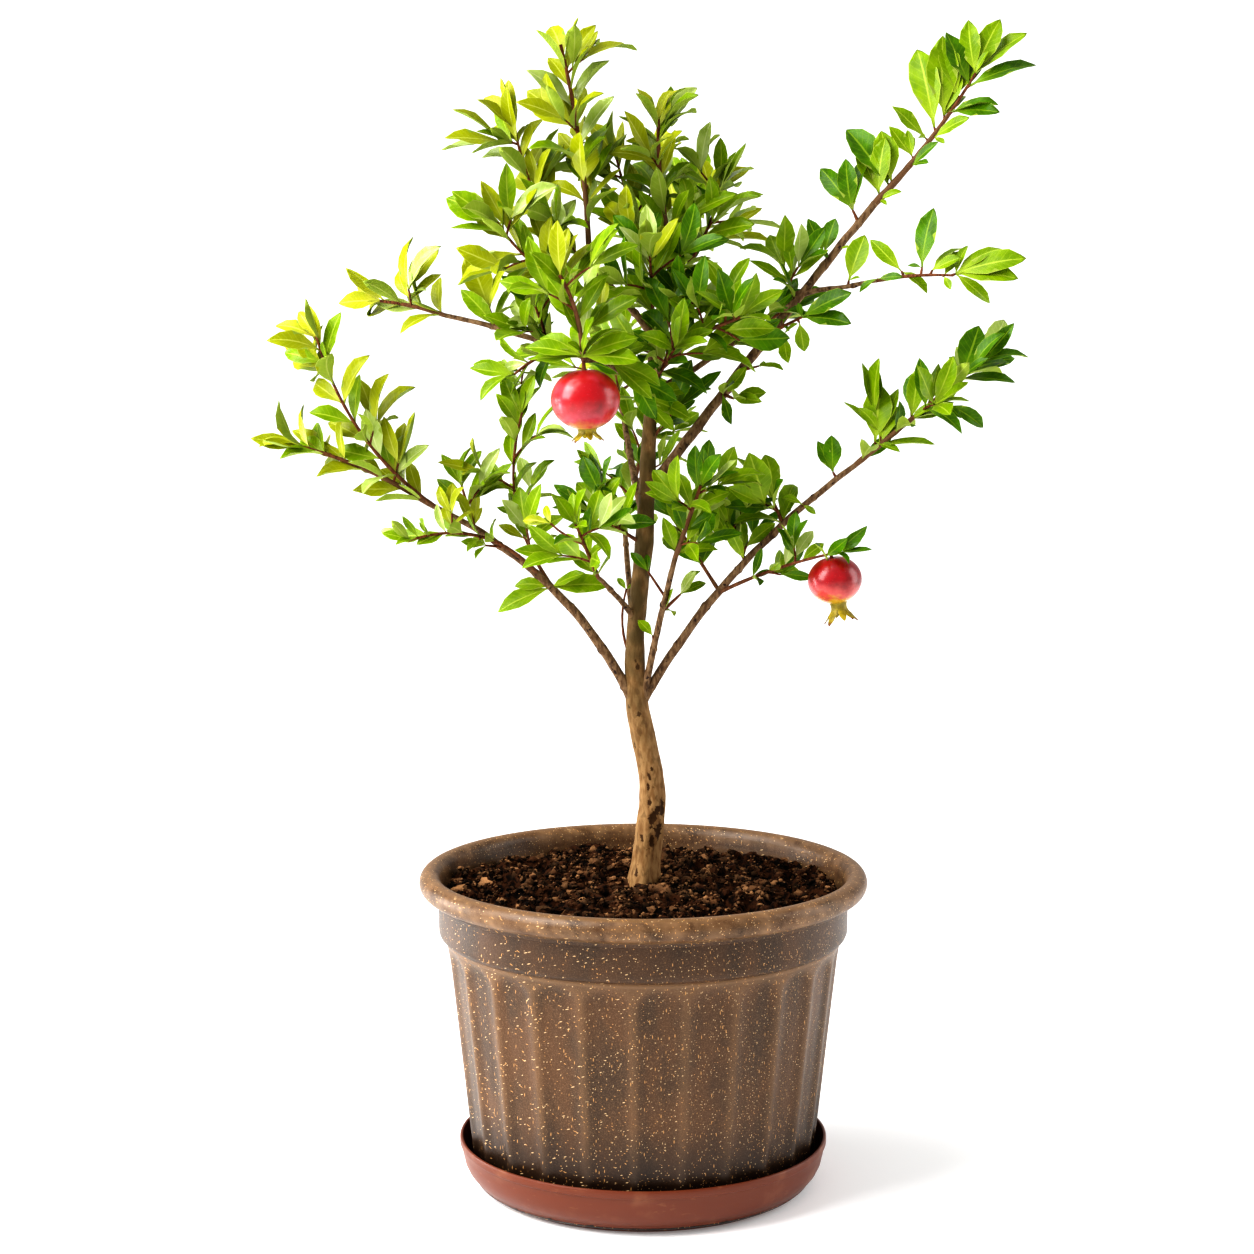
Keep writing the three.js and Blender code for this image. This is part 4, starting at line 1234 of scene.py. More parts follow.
@dataclass
class Tree:
    """The trunk, the boughs, and the masses of twigs and leaves that grow on from them."""

    leaf_length: float = 43.0
    sunk: float = 4.0  # how far a bough's foot is sunk into its parent
    ring: float = 2.2  # the length between the rings of vertices round a limb
    sheen_share: float = 0.09  # the share of leaves painted pale, a painted sheen
    bounds: tuple[Pair, ...] = ((-300, 299), (-172, 215), (440, 910))  # for leaf tips, along X, Y and Z
    light: Vector = field(default_factory=lambda: direction(-120, 38))  # the way that leaves turn
    crown_middle: Vector = field(default_factory=lambda: Vector((0, 10, 640)))
    limbs: dict[str, Limb] = field(default_factory=dict)
    stems: dict[str, Limb] = field(default_factory=dict)
    twigs: dict[str, list[Limb]] = field(default_factory=dict)
    fruit_spots: list[tuple[Vector, float]] = field(default_factory=list)  # each a middle and a radius

    def __post_init__(self) -> None:
        """Grows every limb, stem and side twig."""
        self.limbs["trunk"] = trunk_limb()
        for name, shoot in BOUGHS.items():
            parent = self.limbs[shoot.on]
            self.limbs[name] = child_limb(f"bough_{name}", shoot, parent, shoot.foot, shoot.tip, BOUGH_STEP)
        for name, shoot in MASSES.items():
            parent = self.limbs[shoot.on]
            foot = min(parent.radius(shoot.at), math.inf if shoot.at >= 1 else STEM_FOOT)
            stem = child_limb(f"mass_{name}", shoot, parent, foot, foot * shoot.taper, STEM_STEP)
            self.stems[name] = stem
            self.twigs[name] = side_twigs(f"mass_{name}", shoot, stem)

    # ------------------------------------------------ wood

    def relief(self, limb: Limb, share: float, turn: float, radius: float) -> float:
        """How far the bark stands out at a place on a limb.

        Args:
            limb: the limb.
            share: where along it.
            turn: the turn round it, in radians.
            radius: its radius there.

        Returns:
            The height in millimetres.
        """
        along = share * limb.path.length
        round_trip = Vector((math.cos(turn), math.sin(turn), 0))
        seed = (seed_of(limb.name) % 97) * 3.1
        furrow = noise.noise(round_trip * 2.4 + Vector((seed, 0, along / 16)))
        lump = noise.noise(round_trip * 1.1 + Vector((seed, 5, along / 34)))
        fine = noise.noise(round_trip * 5.5 + Vector((seed, 9, along / 5)))
        return radius * (0.07 * furrow + 0.09 * lump) + 0.22 * fine

    def scars(self, limb: Limb) -> list[tuple[float, float, float]]:
        """Where a limb has scars and old buds.

        Args:
            limb: the limb.

        Returns:
            The share along it, the turn round it in radians, and the size in millimetres of each.
        """
        chance = Stream(seed_of(limb.name) + 5)
        if limb.name == "trunk":
            return KNOTS + [
                (chance.between(0.2, 0.9), chance() * 2 * math.pi, chance.between(1.2, 2.2))
                for _ in range(14)
            ]
        found = []
        nodes = int(limb.path.length / 19)
        for node in range(1, nodes):
            turn = node * math.pi / 2 + chance.between(-0.4, 0.4)
            share = (node + chance.between(-0.25, 0.25)) / nodes
            for bud in (turn, turn + math.pi):
                found.append((share, bud % (2 * math.pi), chance.between(1.3, 2.1)))
        return found

    def wood(self, limb: Limb, node: str, material: bpy.types.Material) -> bpy.types.Object:
        """A limb with its bark's relief, its scars and the collar where it leaves its parent.

        Args:
            limb: the limb.
            node: the solid that it stands for.
            material: its bark.

        Returns:
            The piece.
        """
        length, thick = limb.path.length, limb.name == "trunk"
        rings, sides = int(length / self.ring), 40 if thick else 20
        sunk = 0.0 if thick else self.sunk
        step = (length + sunk) / rings
        rows = [(1.0, i * step) for i in range(rings + 1)]
        piece = spun(limb.name, [(0, 0), *rows, (0, length + sunk)], sides)
        flat = places_of(piece)
        out, turns = polar(flat)
        row = np.rint(flat[:, 2] / step).astype(int)
        shares = (np.arange(rings + 1) * step - sunk) / length
        foot, first = limb.path.at(0), limb.path.tangent(0)
        middles = [limb.path.at(s) if s >= 0 else foot + first * (s * length) for s in shares]
        middles = np.array([tuple(middle) for middle in middles])
        radii = np.array([limb.radius(max(0.0, s)) for s in shares])
        if not thick:
            along = np.clip(shares, 0, 1) * length
            seed = seed_of(limb.name) % 13
            wander = np.array([noise.noise(Vector((a / 26, seed, 0))) for a in along])
            middles[:, 2] += wander * 1.3 * np.clip(shares * 6, 0, 1) * np.clip((1 - shares) * 8, 0, 1)
            radii = radii * (1 + 0.5 * np.exp(-along / 6))
        frames = np.array([[tuple(axis) for axis in found] for found in limb.path.frames(rings)])
        marks = self.scars(limb)
        scar = np.zeros(len(flat))
        places = np.empty_like(flat)
        for k, (turn, i) in enumerate(zip(turns, row)):
            rise, scar[k] = self.stands_out(limb, shares[i], turn, radii[i], marks)
            _, normal, binormal = frames[i]
            outward = normal * math.cos(turn) + binormal * math.sin(turn)
            places[k] = middles[i] + outward * (out[k] * (radii[i] + rise))
        move_places(piece, places)
        paint(piece, "scar", scar)
        if thick:
            # Painted shade and green bounce light: the trunk turns dark olive above 320 mm, under the crown.
            shade_up_high = np.clip((places[:, 2] - 320) / 130, 0, 1)
            paint(piece, "age_and_shade", np.clip(shade_up_high * (0.8 + 0.8 * noise_at(places, 9)), 0, 0.95))
        dress(piece, material, 60, node)
        return piece

    def stands_out(
        self, limb: Limb, share: float, turn: float, radius: float, marks: list[tuple[float, float, float]]
    ) -> Pair:
        """How far the bark stands out at a place with its scars, its buds and the trunk's toes.

        Args:
            limb: the limb.
            share: where along it.
            turn: the turn round it, in radians.
            radius: its radius there.
            marks: its scars.

        Returns:
            The height in millimetres, and how dark a scar makes it, from 0 to 1.
        """
        length, thick = limb.path.length, limb.name == "trunk"
        rise, scar = self.relief(limb, share, turn, radius), 0.0
        if thick:
            toe = math.exp(-(share * length - 8) / 16)
            rise += toe * (1.6 * math.cos(3 * turn + 0.6) + 1.0 * math.cos(5 * turn))
        for at, mark_turn, size in marks:
            gap_along = (share - at) * length / (size * (2.2 if thick else 1))
            if abs(gap_along) > 2:
                continue
            gap_round = abs((turn - mark_turn + math.pi) % (2 * math.pi) - math.pi) * radius / size
            near = gap_along**2 + gap_round**2
            if thick:
                edge = math.exp(-((math.sqrt(near) - 0.9) ** 2) * 7)
                rise += (0.14 * edge - 0.16 * math.exp(-near * 2.5)) * size
                scar = max(scar, 0.8 * math.exp(-near * 1.8))
            else:
                rise += 0.55 * size * math.exp(-near * 1.5)
                scar = max(scar, 0.6 * math.exp(-((gap_along - 0.4) ** 2 + gap_round**2) * 1.4))
        return rise, scar

    # ------------------------------------------------ foliage

    def light_and_shade_tint(self, place: Vector, chance: Stream) -> Tint:
        """The tint of a spray, which is painted light and shade: bright high up and on the left, where the
        key light falls, and deep inside the crown, where it is shaded.

        Args:
            place: where the spray is.
            chance: the mass's stream.

        Returns:
            The tint.
        """
        height = (place.z - 470) / 420 - 0.5
        left = -place.x / (260 if place.x < 0 else 104)
        inside = math.exp(-(((place - self.crown_middle).length / 110) ** 2))
        score = 0.48 + 0.28 * height + 0.13 * left - 0.4 * inside + chance.between(-0.17, 0.17)
        if score < 0.2:
            return Tint.DEEP
        return Tint.GREEN if score < 0.46 else Tint.BRIGHT

    def leaf(
        self, twig: Limb, share: float, turn: float, follow: float, size: float, tint: Tint, chance: Stream
    ) -> Leaf:
        """One leaf on a twig, its face turned partly to the light.

        Args:
            twig: the twig or stem.
            share: where along it.
            turn: the turn round it.
            follow: how far it lies along the twig.
            size: its length, in millimetres.
            tint: its colour.
            chance: the mass's stream.

        Returns:
            The leaf.
        """
        axis = twig.path.tangent(share)
        along = leaning(twig, share, turn, follow, 0.8, 0.22)
        along = (along + chance.direction() * 0.14).normalized()
        if along.z < -0.15 and chance() < 0.75:
            along = Vector((along.x, along.y, -0.25 * along.z)).normalized()
        root = twig.path.at(share)
        outward = root - self.crown_middle
        outward.z *= 0.3
        inner = axis - along * axis.dot(along)
        normal = inner * 0.45 + outward.normalized() * 0.3 + self.light * 0.95 + Vector((0, 0, 0.2))
        normal = normal + chance.direction() * 0.45
        normal = (normal - along * normal.dot(along)).normalized()
        shape = OVAL if chance() < 0.07 else int(chance() * OVAL) % OVAL
        # Some leaves are painted pale whitish green, a painted sheen.
        if chance() < self.sheen_share and tint != Tint.YOUNG:
            tint = Tint.WAXY
        return Leaf(root, along, normal, size, shape, tint)

    def leaves_on(self, twig: Limb, shoot: Shoot, bare: float, young: bool, chance: Stream) -> list[Leaf]:
        """The leaves of one twig: pairs, each turned across the last, with small ones beside them.

        Args:
            twig: the twig or stem.
            shoot: the numbers of its mass.
            bare: the share of it before its first leaves.
            young: whether its tip has just grown.
            chance: the mass's stream.

        Returns:
            The leaves.
        """
        size = self.leaf_length * shoot.leaf
        nodes = max(1, round(twig.path.length * (1 - bare) / shoot.pitch))
        found = []
        for node in range(nodes):
            share = bare + (0.97 - bare) * node / nodes
            turn = node * (math.pi / 2 + 0.35) + chance.between(-0.3, 0.3)
            tint = self.light_and_shade_tint(twig.path.at(share), chance)
            grown = size * chance.between(0.82, 1.06)
            for pair in range(2):
                mine = turn + pair * math.pi + chance.between(-0.35, 0.35)
                length = grown * chance.between(0.88, 1.05)
                found.append(self.leaf(twig, share, mine, chance.between(0.65, 1.15), length, tint, chance))
            for _ in range(int(chance() < 0.4) + int(chance() < 0.12)):
                mine = turn + math.pi / 2 + chance.between(-1.2, 1.2)
                small = size * chance.between(0.42, 0.75)
                found.append(self.leaf(twig, share, mine, chance.between(0.8, 1.6), small, tint, chance))
        return found + self.tip_leaves(twig, size, young, chance)

    def tip_leaves(self, twig: Limb, size: float, young: bool, chance: Stream) -> list[Leaf]:
        """The fan of leaves at a twig's tip.

        Args:
            twig: the twig or stem.
            size: the length of a full leaf.
            young: whether the tip has just grown.
            chance: the mass's stream.

        Returns:
            The leaves.
        """
        tint = self.light_and_shade_tint(twig.path.at(1), chance)
        turn = chance() * 6.28
        # how far each follows the twig, its turn and its size
        fan = [(5.0, 0.0, 0.88), (2.1, 0.0, 1.0), (1.9, math.pi, 0.94), (1.05, 1.5, 0.92), (1.0, 4.6, 0.84)]
        fan = fan if twig.path.length > 45 else fan[1:4]
        found = []
        for i, (follow, aside, grown) in enumerate(fan):
            new = young and i < 3
            length = size * grown * chance.between(0.9, 1.08) * (0.78 if new else 1)
            share = 0.985 if i < 3 else 0.93
            own = Tint.YOUNG if new else tint
            found.append(self.leaf(twig, share, turn + aside, follow, length, own, chance))
        return found

    def spur_leaves(self, name: str, chance: Stream) -> tuple[list[Limb], list[Leaf]]:
        """The short shoots that stand on the boughs beside a mass.

        Args:
            name: the mass's key.
            chance: the mass's stream.

        Returns:
            The shoots as limbs, and their leaves.
        """
        limbs, leaves = [], []
        for i, spur in enumerate(SPURS.get(name, [])):
            parent = self.stems[name] if spur.on == "stem" else self.limbs[spur.on]
            limb = child_limb(f"spur_{name}_{i}", spur, parent, SPUR_FOOT, SPUR_TIP, STEM_STEP)
            limbs.append(limb)
            tint = self.light_and_shade_tint(limb.path.at(1), chance)
            for k, (heading, rise, length) in enumerate(spur.leaves):
                along = direction(heading, rise)
                normal = self.light + chance.direction() * 0.3 + Vector((0, 0, 0.15))
                normal = (normal - along * normal.dot(along)).normalized()
                shape = OVAL if spur.oval and k == 0 else BROAD[int(chance() * len(BROAD)) % len(BROAD)]
                leaves.append(Leaf(limb.path.at(0.98), along, normal, length, shape, tint))
        return limbs, leaves

    def off_fruit(self, leaf: Leaf) -> bool:
        """Whether a leaf keeps out of the fruit and doesn't hide one from the front.

        Args:
            leaf: the leaf.

        Returns:
            True where it does.
        """
        for centre, radius in self.fruit_spots:
            for share in (0.3, 0.6, 1.0):
                gap = leaf.point(share) - centre
                if gap.length < radius + 3 or (gap.y < 0 and math.hypot(gap.x, gap.z) < radius - 1):
                    return False
        return True

    def clear(self, leaf: Leaf) -> bool:
        """Whether a leaf keeps out of the fruit and the limbs, and inside the plant's own reach.

        Args:
            leaf: the leaf.

        Returns:
            True where it does.
        """
        for limb in self.limbs.values():
            for share in (0.55, 1.0):
                gaps = np.linalg.norm(limb.path.points - np.array(tuple(leaf.point(share))), axis=1)
                if gaps.min() < limb.radius(0.5) + 1.2:
                    return False
        within = all(low < value < high for value, (low, high) in zip(leaf.point(1.0), self.bounds))
        return within and self.off_fruit(leaf)

    def foliage(self, name: str, maker: LeafMaker, twig_bark: bpy.types.Material) -> int:
        """Builds one mass: its twigs as one piece and its leaves as another.

        Args:
            name: the mass's key.
            maker: joins the leaves.
            twig_bark: the twigs' material.

        Returns:
            How many leaves it has.
        """
        shoot, stem, twigs = MASSES[name], self.stems[name], self.twigs[name]
        chance = Stream(seed_of(f"mass_{name}") + 2)
        young = name in YOUNG_TIPS
        leaves = self.leaves_on(stem, shoot, shoot.bare, young, chance) if shoot.leaf else []
        for twig in twigs:
            leaves += self.leaves_on(twig, shoot, 0.35, False, chance)
        spurs, spur_leaves = self.spur_leaves(name, chance)
        leaves = [leaf for leaf in leaves if self.clear(leaf)]
        leaves += [leaf for leaf in spur_leaves if self.off_fruit(leaf)]
        parts, ages = [], []
        for twig in [stem, *twigs, *spurs]:
            count = max(4, int(twig.path.length / 6))
            shares = np.linspace(0, 1, count)
            points = np.array([tuple(twig.path.at(s)) for s in shares])
            radii = np.array([twig.radius(s) for s in shares])
            radii = radii * (1 + 0.2 * np.sin(shares * count * 1.7) ** 2)
            parts.append(tube(points, radii, TWIG_SIDES))
            ages.append(np.repeat(np.clip((radii - 1.3) / 0.7, 0, 0.85), TWIG_SIDES))
        wood = new_piece(f"twigs_{name}", *joined(parts))
        paint(wood, "age_and_shade", np.concatenate(ages))
        dress(wood, twig_bark, 70, f"mass_{name}")
        tell_frame(maker.build(f"leaves_{name}", leaves), f"mass_{name}")
        return len(leaves)


@dataclass(frozen=True)
class Fruit:
    """A hanging pomegranate: its stalk, its round body, and the calyx under it."""

    mass: str  # the mass that it hangs from
    at: float  # the share along that mass's stem
    diameter: float
    stalk: float  # the stalk's length
    calyx: float  # the calyx's length
    flare: float  # the radius that its lobes open to
    lean: float  # how far it hangs to the right of straight down, in degrees
    lobe: float  # how deep the calyx is cut between its lobes, as a share of its length
    neck: float  # the calyx's radius where it leaves the body, as a share of the diameter
    skin: Finish

    SQUAT = 0.9  # the body's height as a share of its diameter
    LOBES = 6

    def hang(self, tree: Tree) -> Matrix:
        """The matrix that hangs the fruit under its twig."""
        foot = tree.stems[self.mass].path.at(self.at)
        return Matrix.Translation(foot) @ Matrix.Rotation(math.radians(-self.lean), 4, "Y")

    def spot(self, tree: Tree) -> tuple[Vector, float]:
        """The middle and the radius of the body."""
        down = Vector((0, 0, -self.stalk - self.diameter * self.SQUAT / 2))
        return self.hang(tree) @ down, self.diameter / 2

    def finish(self, piece: bpy.types.Object, matrix: Matrix, material: bpy.types.Material) -> None:
        """Hangs a piece in place and dresses it.

        Args:
            piece: the piece, made with the stalk's top at the origin.
            matrix: hangs it in place.
            material: its material.
        """
        places = np.c_[places_of(piece), np.ones(len(piece.data.vertices))]
        move_places(piece, (places @ np.array(matrix).T)[:, :3])
        dress(piece, material, 50, f"mass_{self.mass}")

    def build(self, tree: Tree, green: bpy.types.Material, bark: bpy.types.Material) -> None:
        """Builds the body, the calyx and the stalk.

        Args:
            tree: the tree that it hangs from.
            green: the calyx's material.
            bark: the stalk's material.
        """
        matrix = self.hang(tree)
        height = self.diameter * self.SQUAT
        middle = -self.stalk - height / 2
        tidy_selection()
        bpy.ops.mesh.primitive_uv_sphere_add(segments=64, ring_count=40, radius=self.diameter / 2 * MM)
        body = bpy.context.object
        body.name = f"fruit_{self.mass}"
        places = places_of(body)
        out, turn = polar(places)
        level = out / (self.diameter / 2)
        swell = 1 + 0.012 * np.cos(6 * turn + 0.7) * level**2 + 0.01 * np.cos(turn * 2)
        places[:, :2] *= swell[:, None]
        dimple = np.exp(-(level / 0.2) ** 2)
        top = places[:, 2] > 0
        places[:, 2] = places[:, 2] * self.SQUAT - np.where(top, dimple * 2.2, dimple * 1.2)
        places[:, 2] += middle
        move_places(body, places)
        self.finish(body, matrix, self.skin.material())
        self.crown(matrix, -self.stalk - height, green)
        end = -self.stalk - 3.5
        radii = (1.5, 1.45, 1.35, 1.3, 1.35, 1.5, 1.9, 2.4)
        rows = [(radius, 1 + (end - 1) * i / 7) for i, radius in enumerate(radii)]
        stalk = spun(f"stalk_{self.mass}", [(0, 1), *rows, (0, end)], 14)
        self.finish(stalk, matrix, bark)

    def crown(self, matrix: Matrix, bottom: float, green: bpy.types.Material) -> None:
        """The calyx: a short tube that opens into curved, pointed lobes.

        Args:
            matrix: hangs it in place.
            bottom: the height of the body's lower end.
            green: its material.
        """
        steps, wall = 14, 1.3  # how many rings, and how thick the lobes are in millimetres
        outside = [(1.0, i / steps) for i in range(steps + 1)]
        profile = [(0, 0), *outside, *[(0.8, share) for _, share in outside[:2:-1]], (0, 3 / steps)]
        piece = spun(f"calyx_{self.mass}", [(r * 10, -z * 10) for r, z in profile], 24 * self.LOBES)
        flat = places_of(piece)
        out, turn = polar(flat / 10)
        share = -flat[:, 2] / 10
        aside = np.abs(np.mod(turn * self.LOBES / (2 * math.pi) + 0.3, 1) * 2 - 1)
        uneven = 1 + 0.12 * np.sin(turn * 2 + 1)
        along = share * self.calyx * uneven * (1 - self.lobe * (1 - aside) ** 1.25)
        grown = np.clip(along / self.calyx, 0, 1)
        neck = self.diameter * self.neck
        pinch = 0.22 * np.sin(math.pi * np.minimum(1, grown * 1.6))
        reach = neck * (1 - pinch) + (self.flare - neck) * grown**2.4
        reach -= np.where(out < 0.9, wall * (1 - 0.5 * grown), 0)
        reach *= np.where(out < 0.1, 0, 1)
        drop = bottom + 2 - along * (1 + 2 / self.calyx) + 2.2 * grown**3
        move_places(piece, np.c_[reach * np.cos(turn), reach * np.sin(turn), drop])
        paint(piece, "tip", np.clip((grown - 0.82) / 0.18, 0, 1))
        self.finish(piece, matrix, green)


FRUITS = [
    Fruit(
        "front_fruit", at=0.07, diameter=50, stalk=11, calyx=10, flare=12.5, lean=3, lobe=0.82, neck=0.165,
        skin=fruit_skin("pomegranate_skin_red", "a20010", "6c0003", "cc4c5c", "b88a4a", 630, 22.5, 0.6),
    ),
    Fruit(
        "right_low_fruit", at=0.93, diameter=40, stalk=2, calyx=16, flare=13, lean=9, lobe=0.64, neck=0.18,
        skin=fruit_skin("pomegranate_skin_blushed", "980010", "720004", "cc5850", "be942c", 495, 17, 0.8),
    ),
]


# ---------------------------------------------------------------- pot, saucer and soil


@dataclass
class Saucer:
    """A shallow moulded dish with a bulging wall and a plain lip."""

    rim: float = 145  # its greatest radius
    foot: float = 126  # the radius that it stands on
    height: float = 39

    def profile(self) -> list[Pair]:
        """Its outline, from the middle of its underside, up the outside, and down the inside.

        Returns:
            The radius and height of each point.
        """
        rim, foot, top = self.rim, self.foot, self.height
        return [
            (0, 0.2), (foot - 9, 0.2), (foot - 6, 0), (foot - 3.5, 0), (foot - 2, 0.8), (foot + 0.6, 5),
            (foot + 3, 6.4), (foot + 8, 8.2), (rim - 6.6, 13.6), (rim - 4.0, 19), (rim - 2.2, 27),
            (rim - 1.9, 31.6), (rim - 1.5, 32.4), (rim - 0.4, 33.0), (rim, 34), (rim, 37.6),
            (rim - 0.5, top - 0.4), (rim - 1.4, top), (rim - 2.3, top - 0.3), (rim - 3, 37), (rim - 3.6, 30),
            (rim - 5.2, 21), (rim - 9.5, 12.6), (foot + 6.5, 6.2), (foot + 3, 3.8), (foot - 2, 3), (0, 3),
        ]

    def build(self) -> None:
        """Spins the dish and dresses it."""
        piece = spun("saucer_dish", self.profile(), 160)
        dress(piece, POLYPROPYLENE.material(), 35, "saucer")


@dataclass
class Pot:
    """A round planter with shallow flutes, a plain band and a rolled rim."""

    bottom: float = 3.3  # the height of its underside
    foot: float = 133  # the radius there
    waist: float = 154  # the radius where the flutes end
    waist_height: float = 196
    band: float = 160  # the plain band's radius
    rim: float = 175
    opening: float = 158
    top: float = 252
    flutes: int = 24
    first_ridge: float = -93  # where a ridge between two flutes stands, in degrees
    depth: float = 3.2  # of a flute
    head: float = 15  # the height of a flute's round upper end

    def profile(self) -> list[Pair]:
        """Its outline, from the middle of its underside, up the outside, over the rim and down the inside.

        Returns:
            The radius and height of each point.
        """
        bottom, foot, waist, band = self.bottom, self.foot, self.waist, self.band
        slope = (waist - foot) / (self.waist_height - bottom)
        levels = (9, 14, 30, 55, 85, 115, 145, 165, 176, 181, 183.5, 186, 188.5, 191, 193.5, 196)
        body = [(foot + slope * (z - bottom), z) for z in levels]
        shoulder = [
            (waist + 0.9, 197.2), (waist + 1.1, 198.4), (waist + 1.0, 199.4), (waist + 2.6, 200.6),
            (band - 1.2, 202.2), (band - 0.2, 204.6), (band, 208), (band, 228.6), (band + 0.9, 229.6),
            (band + 1.1, 231), (band + 2.4, 232.6), (band + 5, 233.4),
        ]
        bead = arc((self.rim - 8.4, self.top - 9), (8.4, 9), -88, 172, 22)
        inside = [
            (self.opening - 0.6, 239), (156, 233), (155, 220), (154.6, 206), (147.5, 193), (126, 9), (0, 9),
        ]
        underside = [(0, bottom), (foot - 9, bottom), (foot - 3, bottom + 0.4), (foot - 0.6, bottom + 2.4)]
        return [*underside, *body, *shoulder, *bead, *inside]

    def groove(self, turn: np.ndarray, height: np.ndarray) -> np.ndarray:
        """How deep each place lies in a flute.

        Args:
            turn: the turn of each place about the axis, in radians.
            height: its height.

        Returns:
            The share of a flute's depth, 0 on a ridge and 1 in the middle of a hollow.
        """
        pitch = 2 * math.pi / self.flutes
        across = 2 * np.mod((turn - math.radians(self.first_ridge)) / pitch, 1) - 1
        head = np.maximum(0, height + self.head - self.waist_height) / self.head
        hollow = np.clip(1 - np.abs(across) ** 2.2 - head**2, 0, 1)
        return hollow * hollow * (3 - 2 * hollow)

    def build(self) -> None:
        """Spins the pot, presses the flutes into it, and paints its ridges, rim and edges paler, partly worn
        and partly a painted sheen and highlight.
        """
        piece = spun("fluted_pot", self.profile(), self.flutes * 12)
        places = places_of(piece)
        radius, turn = polar(places)
        height = places[:, 2]
        slope = (self.waist - self.foot) / (self.waist_height - self.bottom)
        line = self.foot + slope * (height - self.bottom)
        outer = (np.abs(radius - line) < 0.6) & (height > 8) & (height < self.waist_height + 0.5)
        hollow = self.groove(turn, height) * outer
        share = 1 - hollow * self.depth / np.maximum(radius, 1)
        places[:, :2] *= share[:, None]
        places[:, :2] *= (1 + 0.0016 * noise_at(places, 90))[:, None]
        move_places(piece, places)
        rolled = (height > 234) & (radius > self.opening)
        patchy = noise_at(places, 14) + 0.8 * noise_at(places, 4)
        # The ridges and the rolled rim are paler, partly worn and partly a painted sheen.
        wear_and_sheen = np.where(outer, 0.34 * (1 - hollow) ** 3, 0) + np.where(rolled, 0.44 + 0.6 * patchy, 0)
        # The band's edges and the pot's top get pale lines, partly rubbing and partly a painted highlight.
        for level, reach in ((198.3, 1.3), (233.2, 0.7), (self.top - 0.6, 0.7)):  # the band's edges, the top
            rubbed_and_highlit = (np.abs(height - level) < reach) & (radius > self.waist)
            wear_and_sheen = np.maximum(wear_and_sheen, np.where(rubbed_and_highlit, 0.6, 0))
        paint(piece, "wear_and_sheen", wear_and_sheen)
        # Darker towards the foot, and painted shade on the band under the rim's overhang and inside the pot
        # above the soil, most on the inside's left wall, away from the light.
        inner = radius < self.band - 4.5
        foot_dark_and_shade = np.clip((74 - height) / 27, 0, 1) ** 1.3 * 0.97
        foot_dark_and_shade = np.where((height > 200) & (height < 233), 0.26, foot_dark_and_shade)
        foot_dark_and_shade = np.where(inner & (height > 200) & (height < 240), np.where(places[:, 0] > 0, 0.05, 0.3), foot_dark_and_shade)
        paint(piece, "foot_dark_and_shade", foot_dark_and_shade)
        dress(piece, COMPOSITE.material(), 38, "pot")


